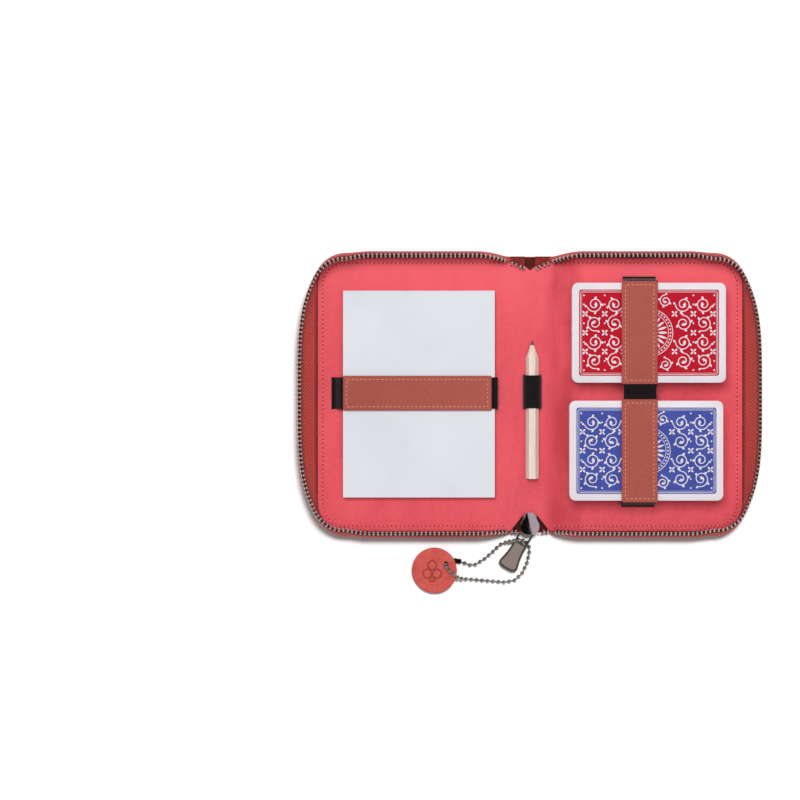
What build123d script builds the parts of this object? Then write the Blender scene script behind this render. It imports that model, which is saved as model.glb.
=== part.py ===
from build123d import *
from math import cos, hypot, pi, sin, sqrt
import os

# A soft zipped case for two decks of bridge cards, laid open flat.
# Origin: centre of the spine's underside. +X is the card side, +Y the end with
# the zip's top stops, +Z up. Millimetres.

# Case
CASE_DEPTH = 159.4        # lining, along the spine
HALF_REACH = 123.8        # lining edge from the middle of the spine
CORNER_RADIUS = 16.0
LEATHER = 1.2
BOARD = 1.2
LINING = 0.8
COVER_LIP = 0.9           # leather beyond the lining, under the zip tape
CLOSED_THICKNESS = 33.0
FOLD_HEIGHT = 5.0         # height of the two fold lines of the spine
FOLD_GAP = 0.3            # between the spine and each half
EDGE_ROUND = 0.45

# Zip tape wall
TAPE = 0.6
TAPE_GAP = 0.2            # between the lining's edge and the tape
SIDE_FLARE = 8.9          # how far the rim stands out at the middle of a side
CORNER_FLARE = 1.5        # the same where the side meets its corner
CORNER_DRAW = 2.0         # how far the rim is drawn in at the corners
CORNER_DRAW_RUN = 15.0
END_BULGE = 2.7           # outward belly of the wall at its middle height
SIDE_BULGE = 0.6
NOTCH_DRAW = 6.7          # how far the rows turn in at the top end of the zip
NOTCH_HALF_WIDTH = 3.0
NOTCH_RUN = 28.0
RIM_DESCENT = 20.0        # length over which the rim comes down to a fold line
NOTCH_EASE = 9.3          # close sections of the wall beyond that length
EASE_SECTIONS = 6
CORNER_SECTIONS = 7
SIDE_SECTIONS = (0.12, 0.25, 0.5, 1)    # shares of half a side

# Zip teeth
TOOTH_PITCH = 2.5
TOOTH_THICKNESS = 1.1
TOOTH_WIDTH = 3.0
TOOTH_ROOT = 1.7
TOOTH_TIP = 0.9
TOOTH_TIP_WIDTH = 1.6
TOOTH_SHOULDER = 0.7
TOOTH_SEAT = 1.1          # from the tape's edge to the rim plane
TOOTH_LEAN_DROP = 3.0     # how far below the full rim a tooth leans with its row
FOLD_TOOTH_CLEAR = 2.9    # first tooth from a fold line
STOP_LENGTH = 3.0
STOP_HEIGHT = 1.5
ROW_STEP = 0.125          # steps in which a row's length is measured

# Zip slider and puller
SLIDER_WIDTH = 10.9
SLIDER_LENGTH = 12.7
SLIDER_BEYOND = 1.7       # its broad end from the lining's edge
SLIDER_SHOULDER = 4.4     # broad end to the widest place
SLIDER_REAR_WIDTH = 6.6
SLIDER_PLATE = 1.1
SLIDER_MIDDLE = 6.7       # height of the channel's middle
CHANNEL_HEIGHT = 3.2
CHANNEL_WIDTH = 4.2       # of the merged chain
CHANNEL_LENGTH = 4.6      # of the merged chain's part of the channel
SLIDER_WEDGE = 3.0
SLIDER_ROUND = 0.45
SLIDER_NOTCH = 1.5        # lining cut back round the slider
CROWN_WIDTH = 2.6
CROWN_LENGTH = 6.4
CROWN_WALL = 0.9
CROWN_LOWEST = 1.5
RING_BAR = 1.2
RING_HEIGHT = 3.25
RING_WIDTH = 8.3
PIVOT_INSIDE = 2.2        # the ring's cross bar from the lining's edge
PULLER_SWUNG = 30.0       # degrees off the spine's line at rest, towards the front half
TAB_START = 11.1
TAB_LENGTH = 16.0
TAB_END_WIDTH = 11.5
TAB_RIM = 0.9
TAB_THICKNESS = 1.6
TAB_RECESS = 0.3
TAB_ROUND = 1.2
RING_CHAMFER = 0.3

# Ball chain and tag
BALL = 2.4
BALL_PITCH = 3.2
LINK = 0.8
LINK_SIDES = 5
BALL_SIDES = 6
CHAIN_HEIGHT = 1.25
CLASP_LENGTH = 5.0
CLASP = 3.0
CLASP_CHAMFER = 0.5
CLASP_FROM_HOLE = 8.0     # its middle along the chain, before the tag's hole
BALL_BAND = pi / 8        # half of the flat band round a ball
TAG_DIAMETER = 26.7
TAG_THICKNESS = 2.2
TAG_ROUND = 0.6
TAG_HOLE = 5.0
TAG_HOLE_OFFSET = (6.94, 3.8)
TAG_CENTRE = (-55.8, -22.9, 2.85)    # from the middle of the case's lower end
TAG_TILT = 6.5            # degrees: its hole's side lies on the chain

# Playing cards
CARD_LENGTH = 88.0
CARD_WIDTH = 57.2
CARD_CORNER = 3.5
CARD = 0.29
CARDS_IN_DECK = 54
RED_DECK_PLACE = (68.2, 35.4)
BLUE_DECK_PLACE = (66.7, -32.2)
REST_GAP = 0.1            # under a piece that slides on the lining
STRAP_GAP = 0.25          # over a piece that slides below a strap

# Straps
ELASTIC = 0.9
PATCH = 1.2
PATCH_CHAMFER = 0.3
CARD_STRAP_X = 62.7
CARD_STRAP_WIDTH = 19.2
CARD_PATCH_WIDTH = 20.6
STRAP_SLOPE_RUN = 3.0     # from a deck's edge to the strap's foot
STRAP_FOOT = 1.6
STRAP_DIP = 2.6           # sag of the strap between the decks
PATCH_OVERHANG = 0.9      # patch beyond each end of its deck
PATCH_CORNER = 0.8
PAD_STRAP_Y = 0.8
PAD_STRAP_WIDTH = 18.3
PAD_PATCH_WIDTH = 20.1
PAD_PATCH_LENGTH = 86.0
PAD_PATCH_SHIFT = -0.8    # patch from the middle of the pad
PAD_STRAP_SLOPE = 5.6     # the same for the strap's outer end on the notepad
PAD_STRAP_STEEP = 0.7     # and for its end beside the spine

# Notepad
PAD_WIDTH = 88.0
PAD_LENGTH = 120.0
PAD_THICKNESS = 5.0
PAD_BACKING = 0.6
PAD_GLUE = 0.3
PAD_PLACE = (-64.4, 0.2)

# Pencil
PENCIL_X = 1.3
PENCIL_TIP_Y = 31.9
PENCIL_LENGTH = 80.8
PENCIL_WIDTH = 7.5        # across its corners
PENCIL_CONE = 10.9
LEAD = 2.2
LEAD_FIT = 0.01
LOOP_Y = 1.55
LOOP_LENGTH = 19.9
LOOP_FOOT = 9.2           # between the loop's two sewn feet

# Worked out
FLOOR = LEATHER + BOARD + LINING
RIM = CLOSED_THICKNESS / 2
FOLD_X = RIM - FOLD_HEIGHT
SPINE_EDGE = FOLD_X - FOLD_GAP / 2
HALF_START = FOLD_X + FOLD_GAP / 2
HALF_DEPTH = CASE_DEPTH / 2
SLIDER_FRONT = HALF_DEPTH + SLIDER_BEYOND
PULLER_PIVOT = HALF_DEPTH - PIVOT_INSIDE
CORNER_X = HALF_REACH - CORNER_RADIUS
CORNER_Y = HALF_DEPTH - CORNER_RADIUS
DECK_HEIGHT = CARD * CARDS_IN_DECK
DECK_BASE = FLOOR + REST_GAP
DECK_TOP = DECK_BASE + DECK_HEIGHT
PAD_TOP = FLOOR + REST_GAP + PAD_THICKNESS

os.makedirs("parts", exist_ok=True)


def save(shape, node):
    """Write one node's solids to its own file."""
    export_step(shape, f"parts/{node}.step")


def save_pair(shape, back_node, front_node):
    """Write a piece of the back half and its mirror image on the front half."""
    save(shape, back_node)
    save(mirror(shape, about=Plane.YZ), front_node)


# Flat pieces

def half_face(reach, depth, radius):
    """Outline of one half, from its fold line to its rounded free corners."""
    width = reach - HALF_START
    face = Pos(HALF_START + width / 2, 0) * Rectangle(width, depth)
    free_corners = face.vertices().sort_by(Axis.X)[-2:]
    return fillet(free_corners, radius)


def slab(face, low, thickness):
    """A flat piece of a face, standing on the height low."""
    return Pos(0, 0, low) * extrude(face, thickness)


def ribbon(points, thickness):
    """Face of a band: a line of points, and the same line moved to its left."""
    moved = []
    for i, (x, y) in enumerate(points):
        before = points[max(i - 1, 0)]
        after = points[min(i + 1, len(points) - 1)]
        first = unit(x - before[0], y - before[1]) if i else None
        second = unit(after[0] - x, after[1] - y) if i < len(points) - 1 else None
        first = first or second
        second = second or first
        normal = unit(-first[1] - second[1], first[0] + second[0])
        reach = thickness / (normal[1] * first[0] - normal[0] * first[1])
        moved.append((x + normal[0] * reach, y + normal[1] * reach))
    return make_face(Polyline(*points, *reversed(moved), close=True))


def unit(x, y):
    """The direction of a plane vector."""
    length = hypot(x, y)
    return (x / length, y / length)


def flat_face_of(points):
    """A flat face through its corner points."""
    return Face(Wire.make_polygon([Vector(*point) for point in points], close=True))


def skinned(rings, split):
    """A solid between equal rings of points, its bands split in triangles if asked."""
    faces = [flat_face_of(rings[0]), flat_face_of(rings[-1])]
    for low, high in zip(rings, rings[1:]):
        for i, corner in enumerate(low):
            k = (i + 1) % len(low)
            if split:
                faces += [flat_face_of((corner, low[k], high[k])), flat_face_of((corner, high[k], high[i]))]
            else:
                faces.append(flat_face_of((corner, low[k], high[k], high[i])))
    return Solid(Shell(faces))


# Zip wall and rim

END_RUN = CORNER_X - FOLD_X
CORNER_RUN = CORNER_RADIUS * pi / 2
EDGE_RUN = 2 * END_RUN + 2 * CORNER_RUN + 2 * CORNER_Y


def notch_draw(x, at_top):
    """How far the rim turns in at x, near the end of the zip."""
    if not at_top:
        return 0
    return NOTCH_DRAW * max(0, 1 - (x - NOTCH_HALF_WIDTH) / NOTCH_RUN) ** 2


def rim_height(x, at_top):
    """Height of the rim at x: it meets the fold line's height at the spine."""
    short = max(0, 1 - (x - FOLD_X) / RIM_DESCENT)
    if x > FOLD_X:
        return RIM - (RIM - FOLD_HEIGHT) * short**2
    rise = 0 if at_top else SLIDER_MIDDLE - FOLD_HEIGHT
    inward = (FOLD_X - x) / (FOLD_X - SLIDER_WIDTH / 2)
    return FOLD_HEIGHT + rise * inward


def edge_station(run):
    """The free edge of a half at a run from the fold line's top end.

    Gives the lining edge's point, its outward direction, the rim's flare, the
    wall's bulge and the rim's height.
    """
    at_top = run < EDGE_RUN / 2
    s = run if at_top else EDGE_RUN - run
    turn = 1 if at_top else -1
    if s < END_RUN:
        x = FOLD_X + s
        near = max(0, 1 - (CORNER_X - x) / CORNER_DRAW_RUN)
        drawn = near**2 * (3 - 2 * near)
        flare = -notch_draw(x, at_top) - CORNER_DRAW * drawn
        wall = max(0, rim_height(x, at_top) - FLOOR) / (RIM - FLOOR)
        return (x, HALF_DEPTH * turn), (0, turn), flare, END_BULGE * wall, rim_height(x, at_top)
    if s < END_RUN + CORNER_RUN:
        share = (s - END_RUN) / CORNER_RUN
        angle = (1 - share) * pi / 2
        out = (cos(angle), sin(angle) * turn)
        point = (CORNER_X + CORNER_RADIUS * out[0], CORNER_Y * turn + CORNER_RADIUS * out[1])
        flare = -CORNER_DRAW + (CORNER_DRAW + CORNER_FLARE) * share**3
        return point, out, flare, END_BULGE + (SIDE_BULGE - END_BULGE) * share, RIM
    y = CORNER_Y - (s - END_RUN - CORNER_RUN)
    flare = CORNER_FLARE + (SIDE_FLARE - CORNER_FLARE) * (1 - (y / CORNER_Y) ** 4)
    return (HALF_REACH, y * turn), (1, 0), flare, SIDE_BULGE, RIM


def rim_point(run):
    """Point of the rim at a run along the edge."""
    (x, y), (out_x, out_y), flare, _, height = edge_station(run)
    return Vector(x + out_x * flare, y + out_y * flare, height)


WALL_LEVELS = ((0.35, 0.36, 0.8), (0.7, 0.7, 0.85), (1, 1, 0))


def wall_section(run):
    """Corner points of the tape wall's section, square to the edge.

    It stands on the leather beside the lining. Each level above the lining is a
    share of the height, of the flare and of the bulge.
    """
    (x, y), (out_x, out_y), flare, bulge, height = edge_station(run)
    top = height - TOOTH_SEAT
    levels = [(LEATHER, 0), (FLOOR, 0)]
    for share, flare_share, bulge_share in WALL_LEVELS:
        levels.append((FLOOR + (top - FLOOR) * share, flare * flare_share + bulge * bulge_share))
    inner = [(x + out_x * (TAPE_GAP + reach), y + out_y * (TAPE_GAP + reach), z)
             for z, reach in levels]
    outer = [(px + out_x * TAPE, py + out_y * TAPE, pz) for px, py, pz in inner]
    return inner + outer[::-1]


def tape_wall(runs):
    """The zip tape standing on the edge of the cover, through sections at runs."""
    return skinned([wall_section(run) for run in runs], split=True)


def spaced(start, end, count):
    """Count equal steps from start to end, both included."""
    return [start + (end - start) * i / count for i in range(count + 1)]


def half_wall():
    """The whole wall of a half, with closer sections where it turns."""
    ease = RIM_DESCENT + NOTCH_EASE
    corner_end = END_RUN + CORNER_RUN
    top = spaced(FOLD_GAP / 2, ease, EASE_SECTIONS) + [END_RUN - CORNER_DRAW_RUN]
    corner = spaced(END_RUN - CORNER_DRAW_RUN / 2, corner_end, CORNER_SECTIONS)
    side = [corner_end + share * CORNER_Y for share in SIDE_SECTIONS]
    half = top + corner + side
    return tape_wall(half + [EDGE_RUN - run for run in reversed(half[:-1])])


def tooth():
    """One tooth: a stem across the tape's edge that narrows to its tip."""
    half = TOOTH_WIDTH / 2
    tip = TOOTH_TIP_WIDTH / 2
    shoulder = -TOOTH_SHOULDER
    outline = Polyline(
        (-half, -TOOTH_ROOT), (half, -TOOTH_ROOT), (half, shoulder),
        (tip, TOOTH_TIP), (-tip, TOOTH_TIP), (-half, shoulder), close=True,
    )
    return extrude(Plane.YZ * make_face(outline), TOOTH_THICKNESS / 2, both=True)


def rim_place(run):
    """A place on the rim, with X along the row and Z away from the tape."""
    origin = rim_point(run)
    along = (rim_point(run + ROW_STEP) - rim_point(run - ROW_STEP)).normalized()
    lean = min(1, (RIM - origin.Z) / TOOTH_LEAN_DROP)
    along = Vector(along.X, along.Y, along.Z * lean).normalized()
    up = Vector(0, 0, 1) - along * along.Z
    return Plane(origin=origin, x_dir=along, z_dir=up.normalized()).location


def evenly_along(start, end, pitch, offset):
    """Runs between start and end at which the rim has advanced by one pitch."""
    wanted = offset
    travelled = 0
    run = start
    found = []
    while run < end:
        length = (rim_point(run + ROW_STEP) - rim_point(run)).length
        if travelled + length > wanted:
            found.append(run + ROW_STEP * (wanted - travelled) / length)
            wanted += pitch
        travelled += length
        run += ROW_STEP
    return found


def teeth_row(start, end, offset):
    """The teeth between two runs along the rim."""
    shape = tooth()
    runs = evenly_along(start, end, TOOTH_PITCH, offset)
    return Compound(children=[rim_place(run) * shape for run in runs])


def row_stop(run):
    """The crimped stop that ends a row of teeth."""
    body = Box(STOP_LENGTH, TOOTH_WIDTH, STOP_HEIGHT)
    body = fillet(body.edges().filter_by(Axis.X), EDGE_ROUND)
    return rim_place(run) * Pos(0, 0, -STOP_HEIGHT / 2) * body


# Case halves

cover_face = half_face(HALF_REACH + COVER_LIP, CASE_DEPTH + 2 * COVER_LIP, CORNER_RADIUS + COVER_LIP)
cover = slab(cover_face, 0, LEATHER)
cover = chamfer(cover.faces().sort_by(Axis.Z)[0].edges().filter_by(
    lambda edge: edge.center().X > HALF_START + EDGE_ROUND), EDGE_ROUND)
inner_face = half_face(HALF_REACH, CASE_DEPTH, CORNER_RADIUS)
save_pair(cover, "back_cover_leather", "front_cover_leather")
save_pair(slab(inner_face, LEATHER, BOARD), "back_board", "front_board")
save_pair(slab(inner_face, LEATHER + BOARD, LINING), "back_lining", "front_lining")

wall = half_wall()
save_pair(wall, "back_zip_tape", "front_zip_tape")
row_start = FOLD_TOOTH_CLEAR
row_end = EDGE_RUN - FOLD_TOOTH_CLEAR
save(teeth_row(row_start, row_end, 0), "back_zip_teeth")
front_row = teeth_row(row_start, row_end, TOOTH_PITCH / 2)
save(mirror(front_row, about=Plane.YZ), "front_zip_teeth")

# Spine

slider_rear = SLIDER_LENGTH - SLIDER_FRONT
slider_widest = SLIDER_SHOULDER - SLIDER_FRONT
top_notch = make_face(Polyline(
    (-FOLD_X, HALF_DEPTH), (0, HALF_DEPTH - NOTCH_DRAW - TAPE), (FOLD_X, HALF_DEPTH), close=True))
notch_side = [
    (SLIDER_REAR_WIDTH / 2, slider_rear + SLIDER_NOTCH),
    (SLIDER_WIDTH / 2 + SLIDER_NOTCH, slider_widest),
    (FOLD_X, -HALF_DEPTH),
]
bottom_notch = make_face(Polyline(
    *notch_side, *[(-x, y) for x, y in reversed(notch_side)], close=True))
spine_cover = Rectangle(2 * SPINE_EDGE, CASE_DEPTH + 2 * COVER_LIP)
spine_inner = Rectangle(2 * SPINE_EDGE, CASE_DEPTH) - top_notch - bottom_notch
save(slab(spine_cover, 0, LEATHER), "spine_cover_leather")
save(slab(spine_inner, LEATHER, BOARD), "spine_board")
save(slab(spine_inner, LEATHER + BOARD, LINING), "spine_lining")


def both_sides(shape):
    """A piece of the spine and its mirror image."""
    return Compound(children=[shape, mirror(shape, about=Plane.YZ)])


top_end = NOTCH_HALF_WIDTH - FOLD_X
tape_top = tape_wall(spaced(top_end, -FOLD_GAP / 2, EASE_SECTIONS))
save(both_sides(tape_top), "zip_tape_end_top")
rest_run = -FOLD_TOOTH_CLEAR / 2
tape_low = EDGE_RUN + FOLD_GAP / 2
slider_side = EDGE_RUN + FOLD_X - SLIDER_WIDTH / 2
lifted = Polyline(
    (SPINE_EDGE, LEATHER), (SPINE_EDGE, FOLD_HEIGHT - TOOTH_SEAT),
    (SLIDER_WIDTH / 2, SLIDER_MIDDLE - TOOTH_SEAT), (SLIDER_WIDTH / 2, SLIDER_MIDDLE - TOOTH_ROOT),
    (RING_WIDTH / 2 + RING_BAR * 2, SLIDER_MIDDLE - TOOTH_ROOT), (SPINE_EDGE - RING_BAR / 2, LEATHER),
    close=True)
tape_bottom = extrude(Plane.XZ * make_face(lifted), TAPE)
save(both_sides(Pos(0, -HALF_DEPTH - TAPE_GAP) * tape_bottom), "zip_tape_end_bottom")

top_teeth = teeth_row(top_end + STOP_LENGTH + TOOTH_THICKNESS, rest_run, 0)
bottom_teeth = teeth_row(EDGE_RUN - rest_run, slider_side - TOOTH_THICKNESS, 0)
spine_teeth = Compound(children=[top_teeth, bottom_teeth])
save(both_sides(spine_teeth), "spine_zip_teeth")
save(both_sides(row_stop(top_end + STOP_LENGTH / 2)), "zip_top_stops")


# Zip slider

def slider_outline():
    """Plan of the slider: a broad rounded front and a narrower rear."""
    wide = (SLIDER_WIDTH / 2, slider_widest)
    rear = (SLIDER_REAR_WIDTH / 2, slider_rear)
    sides = Polyline((-wide[0], wide[1]), (-rear[0], rear[1]), rear, wide)
    front = ThreePointArc(wide, (0, -SLIDER_FRONT), (-wide[0], wide[1]))
    return make_face(sides + front)


def slider_channel():
    """Plan of the Y channel: the merged chain behind, a row entering on each side."""
    fork = slider_rear - CHANNEL_LENGTH
    narrow = CHANNEL_WIDTH / 2
    out = SLIDER_WIDTH
    merged = Pos(0, fork) * Rectangle(CHANNEL_WIDTH, 2 * CHANNEL_LENGTH + CHANNEL_WIDTH)
    mouths = make_face(Polyline(
        (-narrow, fork), (narrow, fork), (out / 2, slider_widest + SLIDER_PLATE),
        (out, slider_widest), (out, -SLIDER_FRONT - SLIDER_PLATE), (-out, -SLIDER_FRONT - SLIDER_PLATE),
        (-out, slider_widest), (-out / 2, slider_widest + SLIDER_PLATE), close=True))
    wedge = make_face(Polyline(
        (0, fork - narrow), (SLIDER_WEDGE / 2, fork - CHANNEL_WIDTH),
        (SLIDER_WEDGE / 2, -SLIDER_FRONT), (-SLIDER_WEDGE / 2, -SLIDER_FRONT),
        (-SLIDER_WEDGE / 2, fork - CHANNEL_WIDTH), close=True))
    return merged + mouths - wedge


slider_height = CHANNEL_HEIGHT + 2 * SLIDER_PLATE
slider_low = SLIDER_MIDDLE - slider_height / 2
slider = slab(slider_outline(), slider_low, slider_height)
slider_rims = slider.faces().sort_by(Axis.Z)
slider = chamfer(slider_rims[0].edges() + slider_rims[-1].edges(), SLIDER_ROUND)
slider -= slab(slider_channel(), SLIDER_MIDDLE - CHANNEL_HEIGHT / 2, CHANNEL_HEIGHT)
save(slider, "slider_body")

crown_height = slider_low - CROWN_LOWEST
crown = Box(CROWN_WIDTH, CROWN_LENGTH, crown_height)
crown = fillet(crown.edges().filter_by(Axis.X).group_by(Axis.Z)[0], CROWN_WALL)
crown -= Pos(0, 0, CROWN_WALL) * Box(CROWN_WIDTH, CROWN_LENGTH - 2 * CROWN_WALL, crown_height)
save(Pos(0, -PULLER_PIVOT, CROWN_LOWEST + crown_height / 2) * crown, "slider_crown")


# Puller, built pointing along -Y from its pivot, then swung

def puller_place(shape):
    """Swing a piece of the puller about its pivot, towards the front half."""
    return Pos(0, -PULLER_PIVOT, RING_HEIGHT) * Rot(0, 0, -PULLER_SWUNG) * shape


ring_length = TAB_START + RING_BAR / 2
ring_outline = Pos(0, -ring_length / 2 + RING_BAR / 2) * Rectangle(RING_WIDTH, ring_length)
ring_window = Pos(0, -ring_length / 2 + RING_BAR / 2) * Rectangle(
    RING_WIDTH - 2 * RING_BAR, ring_length - 2 * RING_BAR)
ring = extrude(ring_outline - ring_window, RING_BAR / 2, both=True)
ring = chamfer(ring.edges().group_by(Axis.Z)[0] + ring.edges().group_by(Axis.Z)[-1], RING_CHAMFER)
tab_end = TAB_START + TAB_LENGTH


def tab_face(inset):
    """Outline of the tab, drawn in by an inset."""
    top = RING_WIDTH / 2 - inset
    bottom = TAB_END_WIDTH / 2 - inset
    face = make_face(Polyline(
        (-top, -TAB_START - inset), (top, -TAB_START - inset),
        (bottom, -tab_end + inset), (-bottom, -tab_end + inset), close=True))
    return fillet(face.vertices(), TAB_ROUND - inset / 2)


tab = extrude(tab_face(0), TAB_THICKNESS / 2, both=True)
tab = chamfer(tab.faces().sort_by(Axis.Z)[-1].edges() + tab.faces().sort_by(Axis.Z)[0].edges(), TAB_RECESS)
recess = slab(tab_face(TAB_RIM), TAB_THICKNESS / 2 - TAB_RECESS, TAB_RECESS)
tab -= recess + mirror(recess, about=Plane.XY)
save(puller_place(ring + tab), "puller")

# Ball chain

tag_place = Pos(0, -HALF_DEPTH) * Pos(*TAG_CENTRE) * Rot(0, -TAG_TILT, 0)
tag_hole = (tag_place * Pos(*TAG_HOLE_OFFSET, 0)).position

# From the tag's hole over its edge, round to the puller's window, and back
# below the tag. Measured from the middle of the case's lower end.
CHAIN_ROUTE = [
    (-48.6, -20.6, 6.7),
    (-46.3, -23.1, 7.1),
    (-43.5, -25.6, 6.9),
    (-41.0, -27.2, 5.0),
    (-39.0, -27.9, 2.8),
    (-36.3, -28.2, CHAIN_HEIGHT),
    (-24.6, -29.2, CHAIN_HEIGHT),
    (-14.7, -30.0, CHAIN_HEIGHT),
    (-8.6, -28.7, CHAIN_HEIGHT),
    (-4.4, -24.5, CHAIN_HEIGHT),
    (-1.6, -18.4, CHAIN_HEIGHT),
    (-0.2, -11.9, CHAIN_HEIGHT),
    (-0.5, -9.2, CHAIN_HEIGHT),
    (-1.5, -7.3, CHAIN_HEIGHT),
    (-2.9, -5.9, 1.9),
    (-4.6, -5.2, 3.9),
    (-6.4, -4.9, 5.5),
    (-8.2, -5.0, 6.1),
    (-10.2, -5.4, 5.6),
    (-12.6, -6.1, 3.4),
    (-15.0, -7.0, 1.6),
    (-17.8, -8.2, CHAIN_HEIGHT),
    (-21.6, -12.1, CHAIN_HEIGHT),
    (-26.6, -16.4, CHAIN_HEIGHT),
    (-32.0, -19.7, CHAIN_HEIGHT),
    (-34.9, -20.0, CHAIN_HEIGHT),
    (-37.5, -19.0, 1.5),
    (-41.2, -17.7, 1.6),
    (-44.6, -17.3, CHAIN_HEIGHT),
    (-47.5, -18.1, CHAIN_HEIGHT),
]


def chain_places():
    """Centres of the balls, one pitch apart along the closed route."""
    corners = [Vector(x, y - HALF_DEPTH, z) for x, y, z in CHAIN_ROUTE]
    corners = [tag_hole, *corners, tag_hole]
    lengths = [(b - a).length for a, b in zip(corners, corners[1:])]
    count = round(sum(lengths) / BALL_PITCH)
    pitch = sum(lengths) / count
    places = []
    passed = 0
    for start, end, length in zip(corners, corners[1:], lengths):
        while len(places) < count and len(places) * pitch < passed + length:
            share = (len(places) * pitch - passed) / length
            places.append(start + (end - start) * share)
        passed += length
    return places


def ball_shape():
    """A ball with flat facets, in three bands."""
    low = BALL / 2 * cos(BALL_BAND)
    small = BALL / 2 * sin(BALL_BAND)
    sizes = [(-low, small), (-small, low), (small, low), (low, small)]
    turns = [2 * pi * i / BALL_SIDES for i in range(BALL_SIDES)]
    rings = [[(r * cos(turn), r * sin(turn), z) for turn in turns] for z, r in sizes]
    return skinned(rings, split=False)


def link_shape(start, end):
    """A link between two points of the chain."""
    direction = end - start
    plane = Plane(origin=start, z_dir=direction)
    return extrude(plane * RegularPolygon(LINK / 2, LINK_SIDES), direction.length)


balls = chain_places()
first_clasped = int(len(balls) - CLASP_FROM_HOLE / BALL_PITCH)
clasped = [first_clasped + 1, first_clasped]
one_ball = ball_shape()
chain_bits = [Pos(*place) * one_ball for i, place in enumerate(balls) if i not in clasped]
clasp_centre = (balls[clasped[0]] + balls[clasped[1]]) / 2
clasp_axis = (balls[clasped[0]] - balls[clasped[1]]).normalized()
for i, place in enumerate(balls):
    following = balls[(i + 1) % len(balls)]
    ends = [place, following]
    if i in clasped and (i + 1) in clasped:
        continue
    if i in clasped:
        ends[0] = clasp_centre + clasp_axis * CLASP_LENGTH / 2
    if i + 1 in clasped:
        ends[1] = clasp_centre - clasp_axis * CLASP_LENGTH / 2
    chain_bits.append(link_shape(*ends))
chain = chain_bits[0].fuse(*chain_bits[1:])
save(chain, "ball_chain")
clasp = Cylinder(CLASP / 2, CLASP_LENGTH)
clasp = chamfer(clasp.edges(), CLASP_CHAMFER)
save(Plane(origin=clasp_centre, z_dir=clasp_axis).location * clasp, "chain_clasp")

tag = Cylinder(TAG_DIAMETER / 2, TAG_THICKNESS)
tag = chamfer(tag.edges().filter_by(GeomType.CIRCLE), TAG_ROUND)
tag -= Pos(*TAG_HOLE_OFFSET, 0) * Cylinder(TAG_HOLE / 2, TAG_THICKNESS)
save(tag_place * tag, "leather_tag")


# Playing cards

card_face = fillet(Rectangle(CARD_LENGTH, CARD_WIDTH).vertices(), CARD_CORNER)
for colour, place in (("red", RED_DECK_PLACE), ("blue", BLUE_DECK_PLACE)):
    face = Pos(*place) * card_face
    save(slab(face, DECK_BASE, DECK_HEIGHT - CARD), f"{colour}_deck_cards")
    save(slab(face, DECK_TOP - CARD, CARD), f"{colour}_top_card")


# Straps

def patch(length, width, low):
    """A leather patch with rounded corners, its length along X."""
    face = fillet(Rectangle(length, width).vertices(), PATCH_CORNER)
    plate = slab(face, low, PATCH)
    return chamfer(plate.faces().sort_by(Axis.Z)[-1].edges(), PATCH_CHAMFER)


strap_low = DECK_TOP + STRAP_GAP
blue_low = BLUE_DECK_PLACE[1] - CARD_WIDTH / 2 - STRAP_GAP
blue_high = BLUE_DECK_PLACE[1] + CARD_WIDTH / 2 + STRAP_GAP
red_low = RED_DECK_PLACE[1] - CARD_WIDTH / 2 - STRAP_GAP
red_high = RED_DECK_PLACE[1] + CARD_WIDTH / 2 + STRAP_GAP
card_strap_line = [
    (blue_low - STRAP_SLOPE_RUN - STRAP_FOOT, FLOOR),
    (blue_low - STRAP_SLOPE_RUN, FLOOR),
    (blue_low, strap_low),
    (blue_high, strap_low),
    ((blue_high + red_low) / 2, strap_low - STRAP_DIP),
    (red_low, strap_low),
    (red_high, strap_low),
    (red_high + STRAP_SLOPE_RUN, FLOOR),
    (red_high + STRAP_SLOPE_RUN + STRAP_FOOT, FLOOR),
]
card_elastic = extrude(Plane.YZ * ribbon(card_strap_line, ELASTIC), CARD_STRAP_WIDTH / 2, both=True)
save(Pos(CARD_STRAP_X) * card_elastic, "card_strap_elastic")
for colour, place in (("red", RED_DECK_PLACE), ("blue", BLUE_DECK_PLACE)):
    piece = patch(CARD_WIDTH + 2 * PATCH_OVERHANG, CARD_PATCH_WIDTH, strap_low + ELASTIC)
    save(Pos(CARD_STRAP_X, place[1]) * Rot(0, 0, 90) * piece, f"{colour}_strap_patch")

pad_outer = PAD_PLACE[0] - PAD_WIDTH / 2 - STRAP_GAP
pad_inner = PAD_PLACE[0] + PAD_WIDTH / 2 + STRAP_GAP
pad_strap_low = PAD_TOP + STRAP_GAP
pad_strap_line = [
    (pad_outer - PAD_STRAP_SLOPE - STRAP_FOOT, FLOOR),
    (pad_outer - PAD_STRAP_SLOPE, FLOOR),
    (pad_outer, pad_strap_low),
    (pad_inner, pad_strap_low),
    (pad_inner + PAD_STRAP_STEEP, FLOOR),
]
pad_elastic = extrude(Plane.XZ * ribbon(pad_strap_line, ELASTIC), PAD_STRAP_WIDTH / 2, both=True)
save(Pos(0, PAD_STRAP_Y) * pad_elastic, "notepad_strap_elastic")
pad_patch = patch(PAD_PATCH_LENGTH, PAD_PATCH_WIDTH, pad_strap_low + ELASTIC)
save(Pos(PAD_PLACE[0] + PAD_PATCH_SHIFT, PAD_STRAP_Y) * pad_patch, "notepad_strap_patch")


# Notepad

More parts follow.
